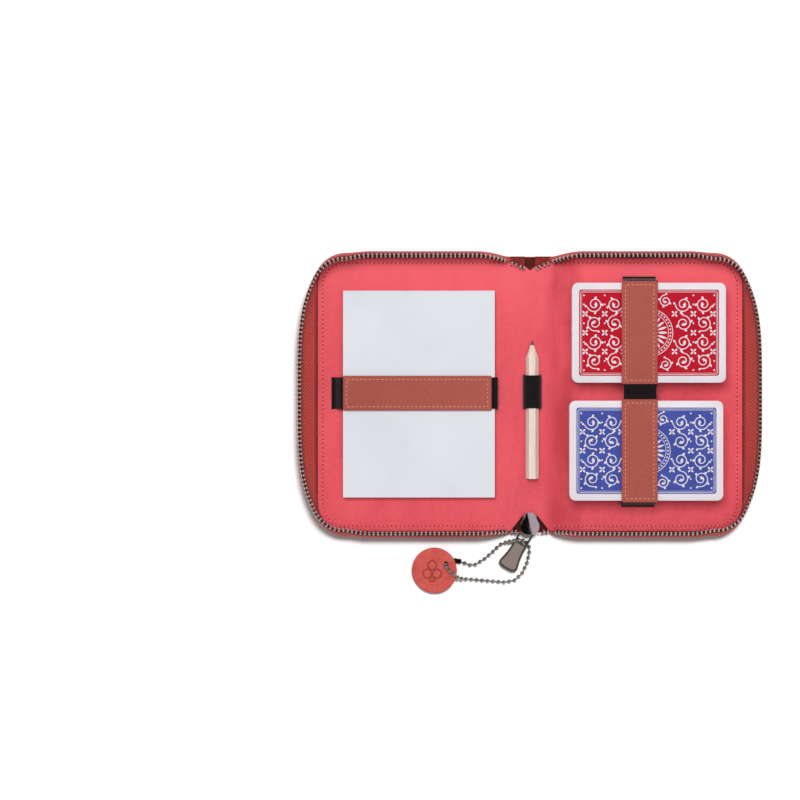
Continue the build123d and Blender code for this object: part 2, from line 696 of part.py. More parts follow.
pad_low = FLOOR + REST_GAP
sheet_length = PAD_LENGTH - PAD_GLUE
pad_x, pad_y = PAD_PLACE
sheet_face = Pos(pad_x, pad_y - PAD_GLUE / 2) * Rectangle(PAD_WIDTH, sheet_length)
save(slab(sheet_face, pad_low, PAD_BACKING), "notepad_backing")
save(slab(sheet_face, pad_low + PAD_BACKING, PAD_THICKNESS - PAD_BACKING), "notepad_sheets")
glue_face = Pos(pad_x, pad_y + sheet_length / 2) * Rectangle(PAD_WIDTH, PAD_GLUE)
save(slab(glue_face, pad_low, PAD_THICKNESS), "notepad_glue_strip")


# Pencil and its loop

pencil_flat = PENCIL_WIDTH / 2 * sqrt(3) / 2
pencil_axis = FLOOR + REST_GAP + pencil_flat
barrel = extrude(RegularPolygon(PENCIL_WIDTH / 2, 6), PENCIL_LENGTH)
point_line = Polyline(
    (0, 0), (PENCIL_WIDTH, 2 * PENCIL_CONE), (PENCIL_WIDTH, PENCIL_LENGTH), (0, PENCIL_LENGTH),
    close=True)
sharpened = revolve(Plane.XZ * make_face(point_line), Axis.Z)
lead_low = (Align.CENTER, Align.CENTER, Align.MIN)
bore = Cylinder(LEAD / 2 + LEAD_FIT, PENCIL_LENGTH, align=lead_low)
lead = Cylinder(LEAD / 2, PENCIL_LENGTH, align=lead_low)
pencil_place = Pos(PENCIL_X, PENCIL_TIP_Y, pencil_axis) * Rot(90, 0, 0)
save(pencil_place * ((barrel & sharpened) - bore), "pencil_wood")
save(pencil_place * (lead & sharpened), "pencil_lead")

loop_top = pencil_axis + pencil_flat + STRAP_GAP
loop_side = PENCIL_WIDTH / 2 + STRAP_GAP
loop_line = [
    (-LOOP_FOOT / 2, FLOOR), (-loop_side, pencil_axis), (-loop_side / 2, loop_top),
    (loop_side / 2, loop_top), (loop_side, pencil_axis), (LOOP_FOOT / 2, FLOOR),
]
loop = extrude(Plane.XZ * ribbon(loop_line, ELASTIC), LOOP_LENGTH / 2, both=True)
save(Pos(PENCIL_X, LOOP_Y) * loop, "pencil_loop")
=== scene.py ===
import math
import random

import bpy
import numpy as np
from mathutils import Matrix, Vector


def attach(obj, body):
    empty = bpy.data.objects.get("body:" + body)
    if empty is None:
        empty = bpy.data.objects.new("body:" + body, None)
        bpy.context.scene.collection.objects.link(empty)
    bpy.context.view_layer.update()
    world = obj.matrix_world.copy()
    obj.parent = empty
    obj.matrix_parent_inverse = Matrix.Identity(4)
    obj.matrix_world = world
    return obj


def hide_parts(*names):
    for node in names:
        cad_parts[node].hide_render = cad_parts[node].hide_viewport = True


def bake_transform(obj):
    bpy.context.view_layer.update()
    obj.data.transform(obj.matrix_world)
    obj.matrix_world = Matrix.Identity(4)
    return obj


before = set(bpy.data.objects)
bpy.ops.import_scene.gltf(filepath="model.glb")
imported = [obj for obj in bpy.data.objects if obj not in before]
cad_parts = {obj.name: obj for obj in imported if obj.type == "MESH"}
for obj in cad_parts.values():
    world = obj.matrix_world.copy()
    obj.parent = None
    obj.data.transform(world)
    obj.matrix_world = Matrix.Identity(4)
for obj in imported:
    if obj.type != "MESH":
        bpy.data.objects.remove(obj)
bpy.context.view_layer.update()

MM = 0.001
scene = bpy.context.scene
random.seed(7)

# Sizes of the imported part, in millimetres
CASE_DEPTH = 159.4
HALF_DEPTH = CASE_DEPTH / 2
HALF_REACH = 123.8
CORNER_RADIUS = 16.0
LEATHER = 1.2
FLOOR = 3.2
RIM = 16.5
COVER_LIP = 0.9
FOLD_X = 11.5
FOLD_HEIGHT = 5.0
TAPE = 0.6
TAPE_GAP = 0.2
SIDE_FLARE = 8.9
CORNER_FLARE = 1.5
CORNER_DRAW = 2.0
CORNER_DRAW_RUN = 15.0
END_BULGE = 2.7
SIDE_BULGE = 0.6
NOTCH_DRAW = 6.7
NOTCH_HALF_WIDTH = 3.0
NOTCH_RUN = 28.0
RIM_DESCENT = 20.0
TOOTH_PITCH = 2.5
TOOTH_LEAN_DROP = 3.0
TOOTH_SEAT = 1.1
ROW_STEP = 0.125
FOLD_TOOTH_CLEAR = 2.9
SLIDER_WIDTH = 10.9
SLIDER_MIDDLE = 6.7
CORNER_X = HALF_REACH - CORNER_RADIUS
CORNER_Y = HALF_DEPTH - CORNER_RADIUS
END_RUN = CORNER_X - FOLD_X
CORNER_RUN = CORNER_RADIUS * math.pi / 2
EDGE_RUN = 2 * END_RUN + 2 * CORNER_RUN + 2 * CORNER_Y


# Meshes

def piece(name, shape, material, body=None, node=None, uvs=None, sharp=None):
    """A mesh piece from points in millimetres, in place of a node where one is named."""
    points, faces = shape
    mesh = bpy.data.meshes.new(name)
    points = np.asarray(points, float) * MM
    mesh.from_pydata(points.tolist(), [], [list(f) for f in faces])
    mesh.update()
    rest = mesh.attributes.new("rest", "FLOAT_VECTOR", "POINT")
    rest.data.foreach_set("vector", points.astype(np.float32).ravel())
    if uvs is not None:
        layer = mesh.uv_layers.new(name="UVMap")
        corners = np.zeros(len(mesh.loops), np.int32)
        mesh.loops.foreach_get("vertex_index", corners)
        layer.data.foreach_set("uv", (np.asarray(uvs, float) * MM)[corners].astype(np.float32).ravel())
    mesh.shade_smooth()
    if sharp:
        mesh.set_sharp_from_angle(angle=math.radians(sharp))
    mesh.materials.append(material)
    obj = bpy.data.objects.new(name, mesh)
    scene.collection.objects.link(obj)
    if body:
        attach(obj, body)
    if node:
        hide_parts(node)
    return obj


def joined(parts):
    """Several (points, faces) as one."""
    points, faces, base = [], [], 0
    for p, f in parts:
        points.append(np.asarray(p, float))
        faces += [[i + base for i in face] for face in f]
        base += len(p)
    return np.vstack(points), faces


def grid_faces(rows, columns, closed=False, flip=False, base=0):
    """Quads of a grid of points, row after row."""
    faces = []
    for i in range(rows - 1):
        for j in range(columns if closed else columns - 1):
            k = (j + 1) % columns
            quad = [base + i * columns + j, base + i * columns + k,
                    base + (i + 1) * columns + k, base + (i + 1) * columns + j]
            faces.append(quad[::-1] if flip else quad)
    return faces


def loft(rings, caps=True):
    """Surface through equal rings of points."""
    columns = len(rings[0])
    points = np.vstack([np.asarray(r, float) for r in rings])
    faces = grid_faces(len(rings), columns, closed=True)
    if caps:
        faces.append(list(range(columns))[::-1])
        faces.append([len(points) - columns + i for i in range(columns)])
    return points, faces


def mirrored(shape):
    """A shape's mirror image on the other side of the spine."""
    points, faces = shape
    return np.asarray(points) * (-1, 1, 1), [list(f)[::-1] for f in faces]


def on_side(shape, sign):
    """A shape of the back half, or for the front half its mirror image."""
    return shape if sign > 0 else mirrored(shape)


def with_mirror(shape):
    """A shape and its mirror image as one."""
    return joined([shape, mirrored(shape)])


def moved(shape, origin, x_dir=(1, 0, 0), y_dir=(0, 1, 0), z_dir=(0, 0, 1)):
    """A shape placed in its own axes."""
    points, faces = shape
    axes = np.array([x_dir, y_dir, z_dir], float)
    return np.asarray(points, float) @ axes + np.asarray(origin, float), faces


def unit(rows):
    """Each row of a table as a unit vector."""
    return rows / np.maximum(np.linalg.norm(rows, axis=1), 1e-9)[:, None]


def right_of(along):
    """Directions in plan, turned a quarter to the right."""
    return np.stack([along[:, 1], -along[:, 0]], 1)


def at_height(outline, z):
    """An outline as points at a height."""
    return np.column_stack([outline, np.full(len(outline), z)])


def outset(outline, distance):
    """A closed outline, counter-clockwise, moved outward."""
    p = np.asarray(outline, float)[:, :2]
    before, after = unit(p - np.roll(p, 1, 0)), unit(np.roll(p, -1, 0) - p)
    along = unit(before + after)
    stretch = 1 / np.maximum((along * after).sum(1), 0.5)
    return p + right_of(along) * (distance * stretch)[:, None]


def rings_of(outline, steps):
    """Rings of an outline, by steps of (outward move, height)."""
    return [at_height(outset(outline, distance), z) for distance, z in steps]


def plate(outline, steps):
    """A plate of an outline, its steps from below to above."""
    return loft(rings_of(outline, steps))


def round_rect(width, length, radius, count=6, centre=(0, 0)):
    """Outline of a rectangle with round corners, counter-clockwise."""
    points = []
    for turn, (sx, sy) in enumerate(((1, 1), (-1, 1), (-1, -1), (1, -1))):
        for i in range(count + 1):
            angle = (turn + i / count) * math.pi / 2
            points.append((centre[0] + sx * (width / 2 - radius) + radius * math.cos(angle),
                           centre[1] + sy * (length / 2 - radius) + radius * math.sin(angle)))
    return np.array(points)


def around(count):
    """Even angles of a full turn."""
    return np.linspace(0, 2 * math.pi, count, endpoint=False)


def circle(centre, radius, count):
    """Outline of a circle."""
    a = around(count)
    return np.stack([centre[0] + radius * np.cos(a), centre[1] + radius * np.sin(a)], 1)


def hoop(centre, side, up, radius, count):
    """A ring of points round a centre, in the plane of two directions."""
    return [centre + radius * (math.cos(a) * side + math.sin(a) * up) for a in around(count)]


def smooth_line(points, step, closed=False):
    """A line through points, rounded, with points a step apart."""
    p = np.asarray(points, float)
    n = len(p)
    out = []
    for i in range(n if closed else n - 1):
        a, b = p[i], p[(i + 1) % n]
        before = p[(i - 1) % n] if closed or i else 2 * a - b
        after = p[(i + 2) % n] if closed or i + 2 < n else 2 * b - a
        count = max(2, int(np.linalg.norm(b - a) / step))
        for t in np.arange(count) / count:
            out.append(0.5 * (2 * a + (b - before) * t + (2 * before - 5 * a + 4 * b - after) * t * t
                              + (3 * a - before - 3 * b + after) * t**3))
    if not closed:
        out.append(p[-1])
    return np.array(out)


def resample(line, step, closed=False):
    """Points an even step apart along a line, and the directions there."""
    p = np.asarray(line, float)
    if closed:
        p = np.vstack([p, p[:1]])
    total = np.concatenate([[0], np.cumsum(np.linalg.norm(np.diff(p, axis=0), axis=1))])

    def at_length(lengths):
        return np.column_stack([np.interp(lengths, total, column) for column in p.T])

    at = np.linspace(0, total[-1], max(1, round(total[-1] / step)) + 1)
    if closed:
        at = at[:-1]
    along = at_length(np.minimum(at + 0.05, total[-1])) - at_length(np.maximum(at - 0.05, 0))
    return at_length(at), unit(along)


def rounded(points, step):
    """A closed outline through points, rounded, in even steps."""
    return resample(smooth_line(points, 0.3, True), step, True)[0]


def both_sides(half):
    """A closed outline from its right half, which runs from end to end."""
    return list(half) + [(-x, y) for x, y in half[::-1]]


def grain(length, width, height):
    """A rounded grain, its length along X."""
    side, up = np.array([0, width / 2, 0]), np.array([0, 0, height / 2])
    rings = []
    for t in math.pi * np.linspace(0.04, 0.96, 7):
        middle = np.array([-length / 2 * math.cos(t), 0, 0])
        rings.append(hoop(middle, side, up, math.sin(t) ** 0.7, 8))
    return loft(rings)


def stitches(line, pitch, height, length, width, closed=False, normal=(0, 0, 1)):
    """A row of thread stitches lying along a line."""
    stitch = grain(length, width, height)
    parts = []
    up = np.asarray(normal, float)
    for p, a in zip(*resample(line, pitch, closed)):
        tilt = random.uniform(-0.09, 0.09)
        side = np.cross(up, a)
        side /= np.linalg.norm(side)
        x = np.cross(side, up) * math.cos(tilt) + side * math.sin(tilt)
        parts.append(moved(stitch, p + up * height * 0.18, x, np.cross(up, x), up))
    return joined(parts)


# Materials

def linear(colour):
    """Linear light of an sRGB colour from 0 to 255."""
    parts = [c / 255 for c in colour]
    return tuple(c / 12.92 if c <= 0.04045 else ((c + 0.055) / 1.055) ** 2.4 for c in parts) + (1.0,)


class Look:
    """A procedural material, built from a few kinds of node."""

    def __init__(self, name, rough, metallic=0.0, **sockets):
        self.material = bpy.data.materials.new(name)
        self.material.use_nodes = True
        self.tree = self.material.node_tree
        self.shader = self.tree.nodes["Principled BSDF"]
        sockets.update(Roughness=rough, Metallic=metallic)
        for socket, value in sockets.items():
            self.shader.inputs[socket.replace("_", " ")].default_value = value
        self.rest = self.node("ShaderNodeAttribute", attribute_name="rest").outputs["Vector"]
        self.uv = self.node("ShaderNodeUVMap", uv_map="UVMap").outputs["UV"]
        self.object = self.node("ShaderNodeTexCoord").outputs["Object"]

    def node(self, kind, inputs=None, **props):
        made = self.tree.nodes.new(kind)
        for key, value in props.items():
            setattr(made, key, value)
        for key, value in (inputs or {}).items():
            if isinstance(value, bpy.types.NodeSocket):
                self.tree.links.new(value, made.inputs[key])
            else:
                made.inputs[key].default_value = value
        return made

    def axis(self, vector, number):
        return self.node("ShaderNodeSeparateXYZ", {0: vector}).outputs[number]

    def stretch(self, vector, scale):
        return self.node("ShaderNodeVectorMath", {0: vector, 1: scale}, operation="MULTIPLY").outputs[0]

    def noise(self, vector, scale, detail=3.0, rough=0.5, distortion=0.0):
        inputs = {"Vector": vector, "Scale": scale, "Detail": detail, "Roughness": rough,
                  "Distortion": distortion}
        return self.node("ShaderNodeTexNoise", inputs).outputs["Fac"]

    def cells(self, vector, scale, feature="F1"):
        inputs = {"Vector": vector, "Scale": scale}
        return self.node("ShaderNodeTexVoronoi", inputs, feature=feature).outputs["Distance"]

    def ramp(self, value, low, high, to_low=0.0, to_high=1.0):
        inputs = {"Value": value, "From Min": low, "From Max": high, "To Min": to_low, "To Max": to_high}
        return self.node("ShaderNodeMapRange", inputs).outputs["Result"]

    def math(self, operation, a, b=0.0):
        return self.node("ShaderNodeMath", {0: a, 1: b}, operation=operation).outputs[0]

    def ribs(self, value, pitch):
        """A wave from -1 to 1 with a pitch in metres."""
        return self.math("SINE", self.math("MULTIPLY", value, 2 * math.pi / pitch))

    def mix(self, factor, a, b):
        """A blend of two colours, each a socket or an sRGB tone."""
        a, b = (c if isinstance(c, bpy.types.NodeSocket) else linear(c) for c in (a, b))
        return self.node("ShaderNodeMix", {0: factor, 6: a, 7: b}, data_type="RGBA").outputs[2]

    def colour(self, tone, *layers):
        """Base colour: a tone, and over it tones that each follow a ramp of a value."""
        for over, value, *span in layers:
            tone = self.mix(self.ramp(value, *span), tone, over)
        self.tree.links.new(tone, self.shader.inputs["Base Color"])

    def roughness(self, socket):
        self.tree.links.new(socket, self.shader.inputs["Roughness"])

    def bump(self, height, distance, strength=1.0):
        made = self.node("ShaderNodeBump", {"Height": height, "Distance": distance, "Strength": strength})
        if self.shader.inputs["Normal"].is_linked:
            self.tree.links.new(self.shader.inputs["Normal"].links[0].from_socket, made.inputs["Normal"])
        self.tree.links.new(made.outputs["Normal"], self.shader.inputs["Normal"])


def leather_look(name, base, dark, light, grain, depth, rough=0.55):
    """Pebbled leather: raised grains with darker furrows, uneven dye."""
    look = Look(name, rough, Specular_IOR_Level=0.2)
    warp = look.noise(look.rest, 260, 2)
    other_warp = look.noise(look.stretch(look.rest, (1.7, 1.3, 1)), 240, 2)
    push = look.node("ShaderNodeCombineXYZ", {0: warp, 1: other_warp, 2: warp}).outputs[0]
    push = look.stretch(push, (0.0012, 0.0012, 0.0012))
    bent = look.node("ShaderNodeVectorMath", {0: look.rest, 1: push}, operation="ADD").outputs[0]
    cell = look.cells(bent, grain, "SMOOTH_F1")
    edge = look.cells(bent, grain, "DISTANCE_TO_EDGE")
    cloud = look.noise(look.rest, 28, 4, 0.6)
    look.colour(base, (dark, cloud, 0.3, 0.7), (light, cell, 0.1, 0.75, 0.35, 0.0),
                ([c * 0.72 for c in dark], edge, 0.0, 0.16, 0.45, 0.0))
    look.roughness(look.ramp(cell, 0.1, 0.9, rough - 0.08, rough + 0.14))
    look.bump(look.ramp(edge, 0.0, 0.3), depth)
    look.bump(look.noise(look.rest, 2600, 2), depth * 0.25)
    return look.material


def suede_look():
    """Napped lining: soft mottling, faint brushing and a fine nap, with a band of painted shade beside the
    fold and painted light towards its top end.
    """
    look = Look("suede", 0.9, Specular_IOR_Level=0.15, Sheen_Weight=0.25, Sheen_Roughness=0.5)
    look.shader.inputs["Sheen Tint"].default_value = linear((255, 150, 150))
    cloud = look.noise(look.rest, 17, 5, 0.6, 0.6)
    brushed = look.noise(look.stretch(look.rest, (1.0, 0.22, 1.0)), 60, 4, 0.6, 1.2)
    nap = look.noise(look.rest, 1500, 3, 0.7)
    fleck = look.noise(look.rest, 420, 3, 0.65)
    across, depth = look.axis(look.rest, 0), look.axis(look.rest, 1)
    # painted shade: a darker band beside the fold on the back half, where creases shade the lining, broken
    # into patches
    wear_and_shade = look.math("MULTIPLY", look.ramp(across, 0.007, 0.014), look.ramp(across, 0.024, 0.033, 1.0, 0.0))
    patchy = look.ramp(look.noise(look.stretch(look.rest, (1.0, 0.5, 1.0)), 75, 3), 0.35, 0.7, 0.15, 0.75)
    look.colour((238, 97, 107),
                ((218, 84, 94), cloud, 0.35, 0.68),
                ((192, 66, 78), brushed, 0.46, 0.72, 0.0, 0.32),
                ((240, 106, 114), fleck, 0.42, 0.62, 0.0, 0.22),
                ((186, 62, 74), nap, 0.35, 0.65, 0.0, 0.2),
                # painted light: the lining lighter towards its top end
                ((250, 108, 118), depth, 0.03, 0.075, 0.0, 0.55),
                ((186, 60, 72), look.math("MULTIPLY", wear_and_shade, patchy), 0.0, 1.0))
    look.bump(brushed, 0.0005, 0.35)
    look.bump(nap, 0.00012, 0.8)
    return look.material


def tape_look(name, low, high):
    """Zip tape: a herringbone of twill ribs, u along the tape and v across it, with painted shade at its foot
    and, under the teeth, at its rim.
    """
    look = Look(name, 0.8, Specular_IOR_Level=0.2, Sheen_Weight=0.1)
    along, across = look.axis(look.uv, 0), look.axis(look.uv, 1)
    band = look.math("PINGPONG", across, 0.0052)
    twill = look.ribs(look.math("ADD", look.math("MULTIPLY", band, 0.9), along), 0.002)
    thread = look.noise(look.stretch(look.uv, (3000, 900, 1)), 1.0, 2)
    cloud = look.noise(look.rest, 40, 3)
    look.colour(low,
                (high, twill, -0.6, 0.9),
                ((172, 50, 46), cloud, 0.35, 0.7, 0.0, 0.35),
                ((222, 84, 74), thread, 0.4, 0.7, 0.0, 0.3),
                # painted shade along the foot of the tape, where it meets the lining
                ((74, 18, 18), across, 0.0003, 0.0022, 0.75, 0.0),
                # painted shade under the teeth, at the rim
                ((50, 16, 16), look.axis(look.rest, 2), (RIM - 3.0) * MM, (RIM - 1.8) * MM, 0.0, 0.92))
    look.bump(twill, 0.00018, 0.8)
    return look.material


def elastic_look():
    """Black woven elastic: ribs along u, with fine cross threads."""
    look = Look("elastic", 0.85, Specular_IOR_Level=0.2, Sheen_Weight=0.12)
    rib, weft = look.ribs(look.axis(look.uv, 0), 0.0009), look.ribs(look.axis(look.uv, 1), 0.0006)
    both = look.math("MULTIPLY", look.ramp(rib, -1, 1, 0.4, 1), look.ramp(weft, -1, 1, 0.5, 1))
    dust = look.noise(look.rest, 320, 3)
    look.colour((10, 7, 10), ((29, 22, 26), both, 0.2, 1.0), ((44, 36, 40), dust, 0.5, 0.75, 0.0, 0.25))
    look.bump(both, 0.00018, 0.8)
    return look.material


def metal_look(name, colour, rough, wear=0.12, scale=900, metallic=1.0, uneven=0.5, grit=0.4):
    """Plated metal with fine rubbed marks."""
    look = Look(name, rough, metallic)
    mark = look.noise(look.stretch(look.rest, (1.0, 0.35, 1.0)), scale, 3, 0.6)
    cloud = look.noise(look.rest, 180, 3)
    look.colour(colour, ([c * 0.62 for c in colour], cloud, 0.35, 0.7, 0.0, uneven),
                ([min(255, c * 1.25) for c in colour], mark, 0.5, 0.7, 0.0, wear))
    look.roughness(look.ramp(mark, 0.35, 0.7, rough, rough + 0.3 * grit))
    look.bump(mark, 0.00003, grit)
    return look.material


def plain_look(name, colour, other, rough, scale, bump, spec=0.3):
    """Paper, thread, board and the like: two tones in a soft noise and a fine tooth."""
    look = Look(name, rough, Specular_IOR_Level=spec)
    look.colour(colour, (other, look.noise(look.rest, scale, 4, 0.6), 0.35, 0.68))
    look.bump(look.noise(look.rest, 2200, 2), bump, 0.6)
    return look.material


def object_look(name, colour, other, rough, scale=200, metallic=0.0):
    """A plain look for a CAD node, in its own coordinates."""
    look = Look(name, rough, metallic, Specular_IOR_Level=0.3)
    look.colour(colour, (other, look.noise(look.object, scale, 4), 0.35, 0.68))
    look.bump(look.noise(look.object, 1500, 2), 0.00004, 0.6)
    return look.material


def wood_look():
    """Bare pale wood, its grain along the pencil."""
    look = Look("pencil_wood", 0.55, Specular_IOR_Level=0.3)
    along = look.stretch(look.object, (1.0, 0.06, 1.0))
    grain = look.noise(along, 900, 4, 0.65)
    look.colour((237, 220, 209), ((227, 208, 195), look.noise(along, 260, 3), 0.35, 0.7),
                ((192, 168, 148), grain, 0.5, 0.72, 0.0, 0.55))
    look.bump(grain, 0.00006, 0.5)
    return look.material


def wax_leather_look():
    """Smooth waxed leather of the tag, with scuffs, and painted shade where u says that it is pressed in."""
    look = Look("tag_leather", 0.5, Specular_IOR_Level=0.35)
    cloud = look.noise(look.rest, 120, 5, 0.65, 0.8)
    pore = look.cells(look.rest, 1500)
    scuff = look.noise(look.stretch(look.rest, (0.5, 1.6, 1.0)), 500, 4, 0.7)
    look.colour((212, 94, 86),
                ((194, 77, 71), cloud, 0.35, 0.68),
                ((226, 120, 107), scuff, 0.52, 0.75, 0.0, 0.45),
                ((176, 66, 62), pore, 0.0, 0.3, 0.3, 0.0),
                # painted shade in the pressed clover groove
                ((146, 50, 46), look.axis(look.uv, 0), 0.0002, 0.0009, 0.0, 0.85))
    look.roughness(look.ramp(cloud, 0.35, 0.7, 0.42, 0.6))
    look.bump(pore, 0.00005, 0.5)
    look.bump(cloud, 0.0004, 0.3)
    return look.material


def teeth_look():
    """Brass-toned plated teeth, rougher in their feet, with painted shade darkening them there, and bright at
    the tips.
    """
    look = Look("zip_teeth", 0.3, 1.0)
    height = look.axis(look.uv, 1)
    mark = look.noise(look.rest, 1400, 3, 0.6)
    # painted shade: dark at the foot of each tooth, towards the tape, bright at its tip
    look.colour((66, 51, 47), ((188, 179, 173), height, -0.0012, 0.0004),
                ((120, 104, 98), mark, 0.5, 0.7, 0.0, 0.4))
    look.roughness(look.ramp(height, -0.001, 0.0006, 0.55, 0.24))
    return look.material


COVER = leather_look("cover_leather", (209, 114, 102), (198, 103, 93), (220, 128, 116), 950, 0.00018)
# painted shade: the cover's inner side, seen only in the notch, is coloured as dark as the shade there
COVER_INNER_SHADE = plain_look("cover_inner_shade", (92, 35, 30), (72, 26, 22), 0.85, 300, 0.0001)
PATCH = leather_look("patch_leather", (177, 91, 80), (167, 82, 72), (185, 99, 87), 1500, 0.00006, 0.5)
SUEDE = suede_look()
TAPE_CLOTH = tape_look("zip_tape", (172, 62, 57), (214, 92, 86))
# a darker copy of the tape: painted shade for the tape's top ends in the notch
TAPE_ENDS_SHADED = tape_look("zip_tape_ends_shaded", (74, 24, 22), (128, 46, 41))
ELASTIC = elastic_look()
THREAD = plain_look("stitch_thread", (226, 176, 148), (206, 146, 120), 0.7, 900, 0.00005)
LINING_THREAD = plain_look("lining_thread", (240, 138, 132), (214, 100, 98), 0.75, 900, 0.00005)
# painted shade: dark dabs for the shade in the needle holes between the lining stitches
NEEDLE_HOLE = plain_look("needle_hole", (156, 50, 58), (138, 42, 50), 0.9, 900, 0.00002, 0.05)
COVER_THREAD = plain_look("cover_thread", (228, 160, 130), (206, 132, 106), 0.7, 900, 0.00005)
TEETH_METAL = teeth_look()
SLIDER_METAL = metal_look("slider_metal", (168, 154, 160), 0.08, 0.03, 500, uneven=0.08, grit=0.08)
CROWN_METAL = object_look("crown_metal", (150, 148, 152), (110, 108, 112), 0.2, 500, 1.0)
PULLER_FACE = metal_look("puller_face", (146, 131, 122), 0.5, 0.08, 900, 0.25, 0.1)
PULLER_RIM = metal_look("puller_rim", (108, 100, 96), 0.24, 0.15)
CHAIN_METAL = metal_look("chain_metal", (158, 154, 152), 0.16)
CLASP_METAL = metal_look("clasp_metal", (44, 42, 44), 0.25, 0.2)
TAG_LEATHER = wax_leather_look()
PAPER = plain_look("pad_paper", (222, 224, 230), (216, 218, 226), 0.75, 26, 0.00002)
CARD_STOCK = plain_look("card_stock", (232, 226, 231), (225, 219, 225), 0.45, 60, 0.00001, 0.15)
RED_PRINT = plain_look("red_card_back", (186, 26, 44), (176, 22, 40), 0.42, 90, 0.00001, 0.1)
BLUE_PRINT = plain_look("blue_card_back", (72, 84, 160), (64, 75, 150), 0.42, 90, 0.00001, 0.1)
WHITE_PRINT = plain_look("card_ornament", (228, 222, 228), (218, 212, 220), 0.42, 90, 0.00001, 0.1)
BLACK_CLOTH = object_look("black_cloth", (12, 11, 12), (20, 18, 19), 0.95, 6)


# The free edge of a half, as in the CAD part

SIDES = (("back", 1), ("front", -1))


def rim_height(x, at_top):
    """Height of the rim at a place along X: it comes down to the fold line."""
    if x > FOLD_X:
        return RIM - (RIM - FOLD_HEIGHT) * max(0, 1 - (x - FOLD_X) / RIM_DESCENT) ** 2
    rise = 0 if at_top else SLIDER_MIDDLE - FOLD_HEIGHT
    return FOLD_HEIGHT + rise * (FOLD_X - x) / (FOLD_X - SLIDER_WIDTH / 2)


def edge_station(run):
    """Point, outward direction, flare, bulge and rim height of the edge at a run."""
    at_top = run < EDGE_RUN / 2
    s = run if at_top else EDGE_RUN - run
    turn = 1 if at_top else -1
    if s < END_RUN:
        x = FOLD_X + s
        near = max(0, 1 - (CORNER_X - x) / CORNER_DRAW_RUN)
        notch = NOTCH_DRAW * max(0, 1 - (x - NOTCH_HALF_WIDTH) / NOTCH_RUN) ** 2 if at_top else 0
        flare = -notch - CORNER_DRAW * near**2 * (3 - 2 * near)
        height = rim_height(x, at_top)
        bulge = END_BULGE * max(0, height - FLOOR) / (RIM - FLOOR)
        return (x, HALF_DEPTH * turn), (0, turn), flare, bulge, height
    if s < END_RUN + CORNER_RUN:
        share = (s - END_RUN) / CORNER_RUN
        angle = (1 - share) * math.pi / 2
        out = (math.cos(angle), math.sin(angle) * turn)
        point = (CORNER_X + CORNER_RADIUS * out[0], CORNER_Y * turn + CORNER_RADIUS * out[1])
        flare = -CORNER_DRAW + (CORNER_DRAW + CORNER_FLARE) * share**3
        return point, out, flare, END_BULGE + (SIDE_BULGE - END_BULGE) * share, RIM
    y = CORNER_Y - (s - END_RUN - CORNER_RUN)
    flare = CORNER_FLARE + (SIDE_FLARE - CORNER_FLARE) * (1 - (y / CORNER_Y) ** 4)
    return (HALF_REACH, y * turn), (1, 0), flare, SIDE_BULGE, RIM


def rim_point(run):
    """The rim's place at a run."""
    (x, y), (out_x, out_y), flare, _, height = edge_station(run)
    return np.array([x + out_x * flare, y + out_y * flare, height])


# Cover and lining: one skin over a half and its side of the spine

LINING_ROWS, COVER_ROWS = 73, 61


def column_end(x, reach, corner, half):
    """Half depth of the outline at x."""
    past = x - (reach - corner)
    return half if past <= 0 else half - corner + math.sqrt(max(0, corner**2 - past**2))


def skin_columns(reach, corner):
    """Places along X, closer where the skin folds and where its corners turn."""
    fold = np.linspace(0, 18, 37)
    flat = np.linspace(18, reach - corner, 64)[1:]
    round_end = reach - corner + corner * np.sin(np.linspace(0, math.pi / 2, 20))[1:]
    return np.concatenate([fold, flat, round_end])


def top_notch(x):
    """How far the lining is cut back at the top end of the zip."""
    return 7.4 * max(0, 1 - x / FOLD_X) ** 1.35


def bottom_notch(x):
    """How far the lining is cut back round the slider."""
    return float(np.interp(x, (0, 4.2, 4.9, 9.2, FOLD_X), (8.8, 8.8, 8.2, 2.8, 0)))


def skin_grid(grow, rows, notched):
    """Plan points in columns from the spine's middle to the free side, the count of
    columns, and the numbers of the points on the free border."""
    reach, corner, half = HALF_REACH + grow, CORNER_RADIUS + grow, HALF_DEPTH + grow
    shares = np.sin(np.linspace(-1, 1, rows) * math.pi / 2 * 0.92) / math.sin(math.pi / 2 * 0.92)
    grid = []
    for x in skin_columns(reach, corner):
        end = column_end(x, reach, corner, half)
        top, low = end - top_notch(x) * notched, -end + bottom_notch(x) * notched
        grid += [(x, low + (top - low) * (s + 1) / 2) for s in shares]
    columns = len(grid) // rows
    foot = [i * rows for i in range(columns)]
    border = foot + [foot[-1] + j for j in range(1, rows - 1)] + [i + rows - 1 for i in foot[::-1]]
    return np.array(grid), columns, border


def open_outset(line, distance):
    """An open line moved to its right: outward for one that runs counter-clockwise."""
    along = np.gradient(line, axis=0)
    for _ in range(2):
        along[1:-1] = (along[:-2] + along[1:-1] * 2 + along[2:]) / 4
    along = unit(along)
    along[0], along[-1] = (1, 0), (-1, 0)
    return line + right_of(along) * distance


def strip(near, far):
    """Quads between two rows of point numbers."""
    return [[near[i], near[i + 1], far[i + 1], far[i]] for i in range(len(near) - 1)]


def skirt(points, faces, border, outline, steps, inward=False):
    """Rings below or round a border, added by steps of (outward move, height). Gives
    the point numbers of the last one."""
    for distance, height in steps:
        base = sum(len(p) for p in points)
        points.append(at_height(open_outset(outline, distance), height))
        ring = list(range(base, base + len(outline)))
        faces += strip(ring, border) if inward else strip(border, ring)
        border = ring
    return border


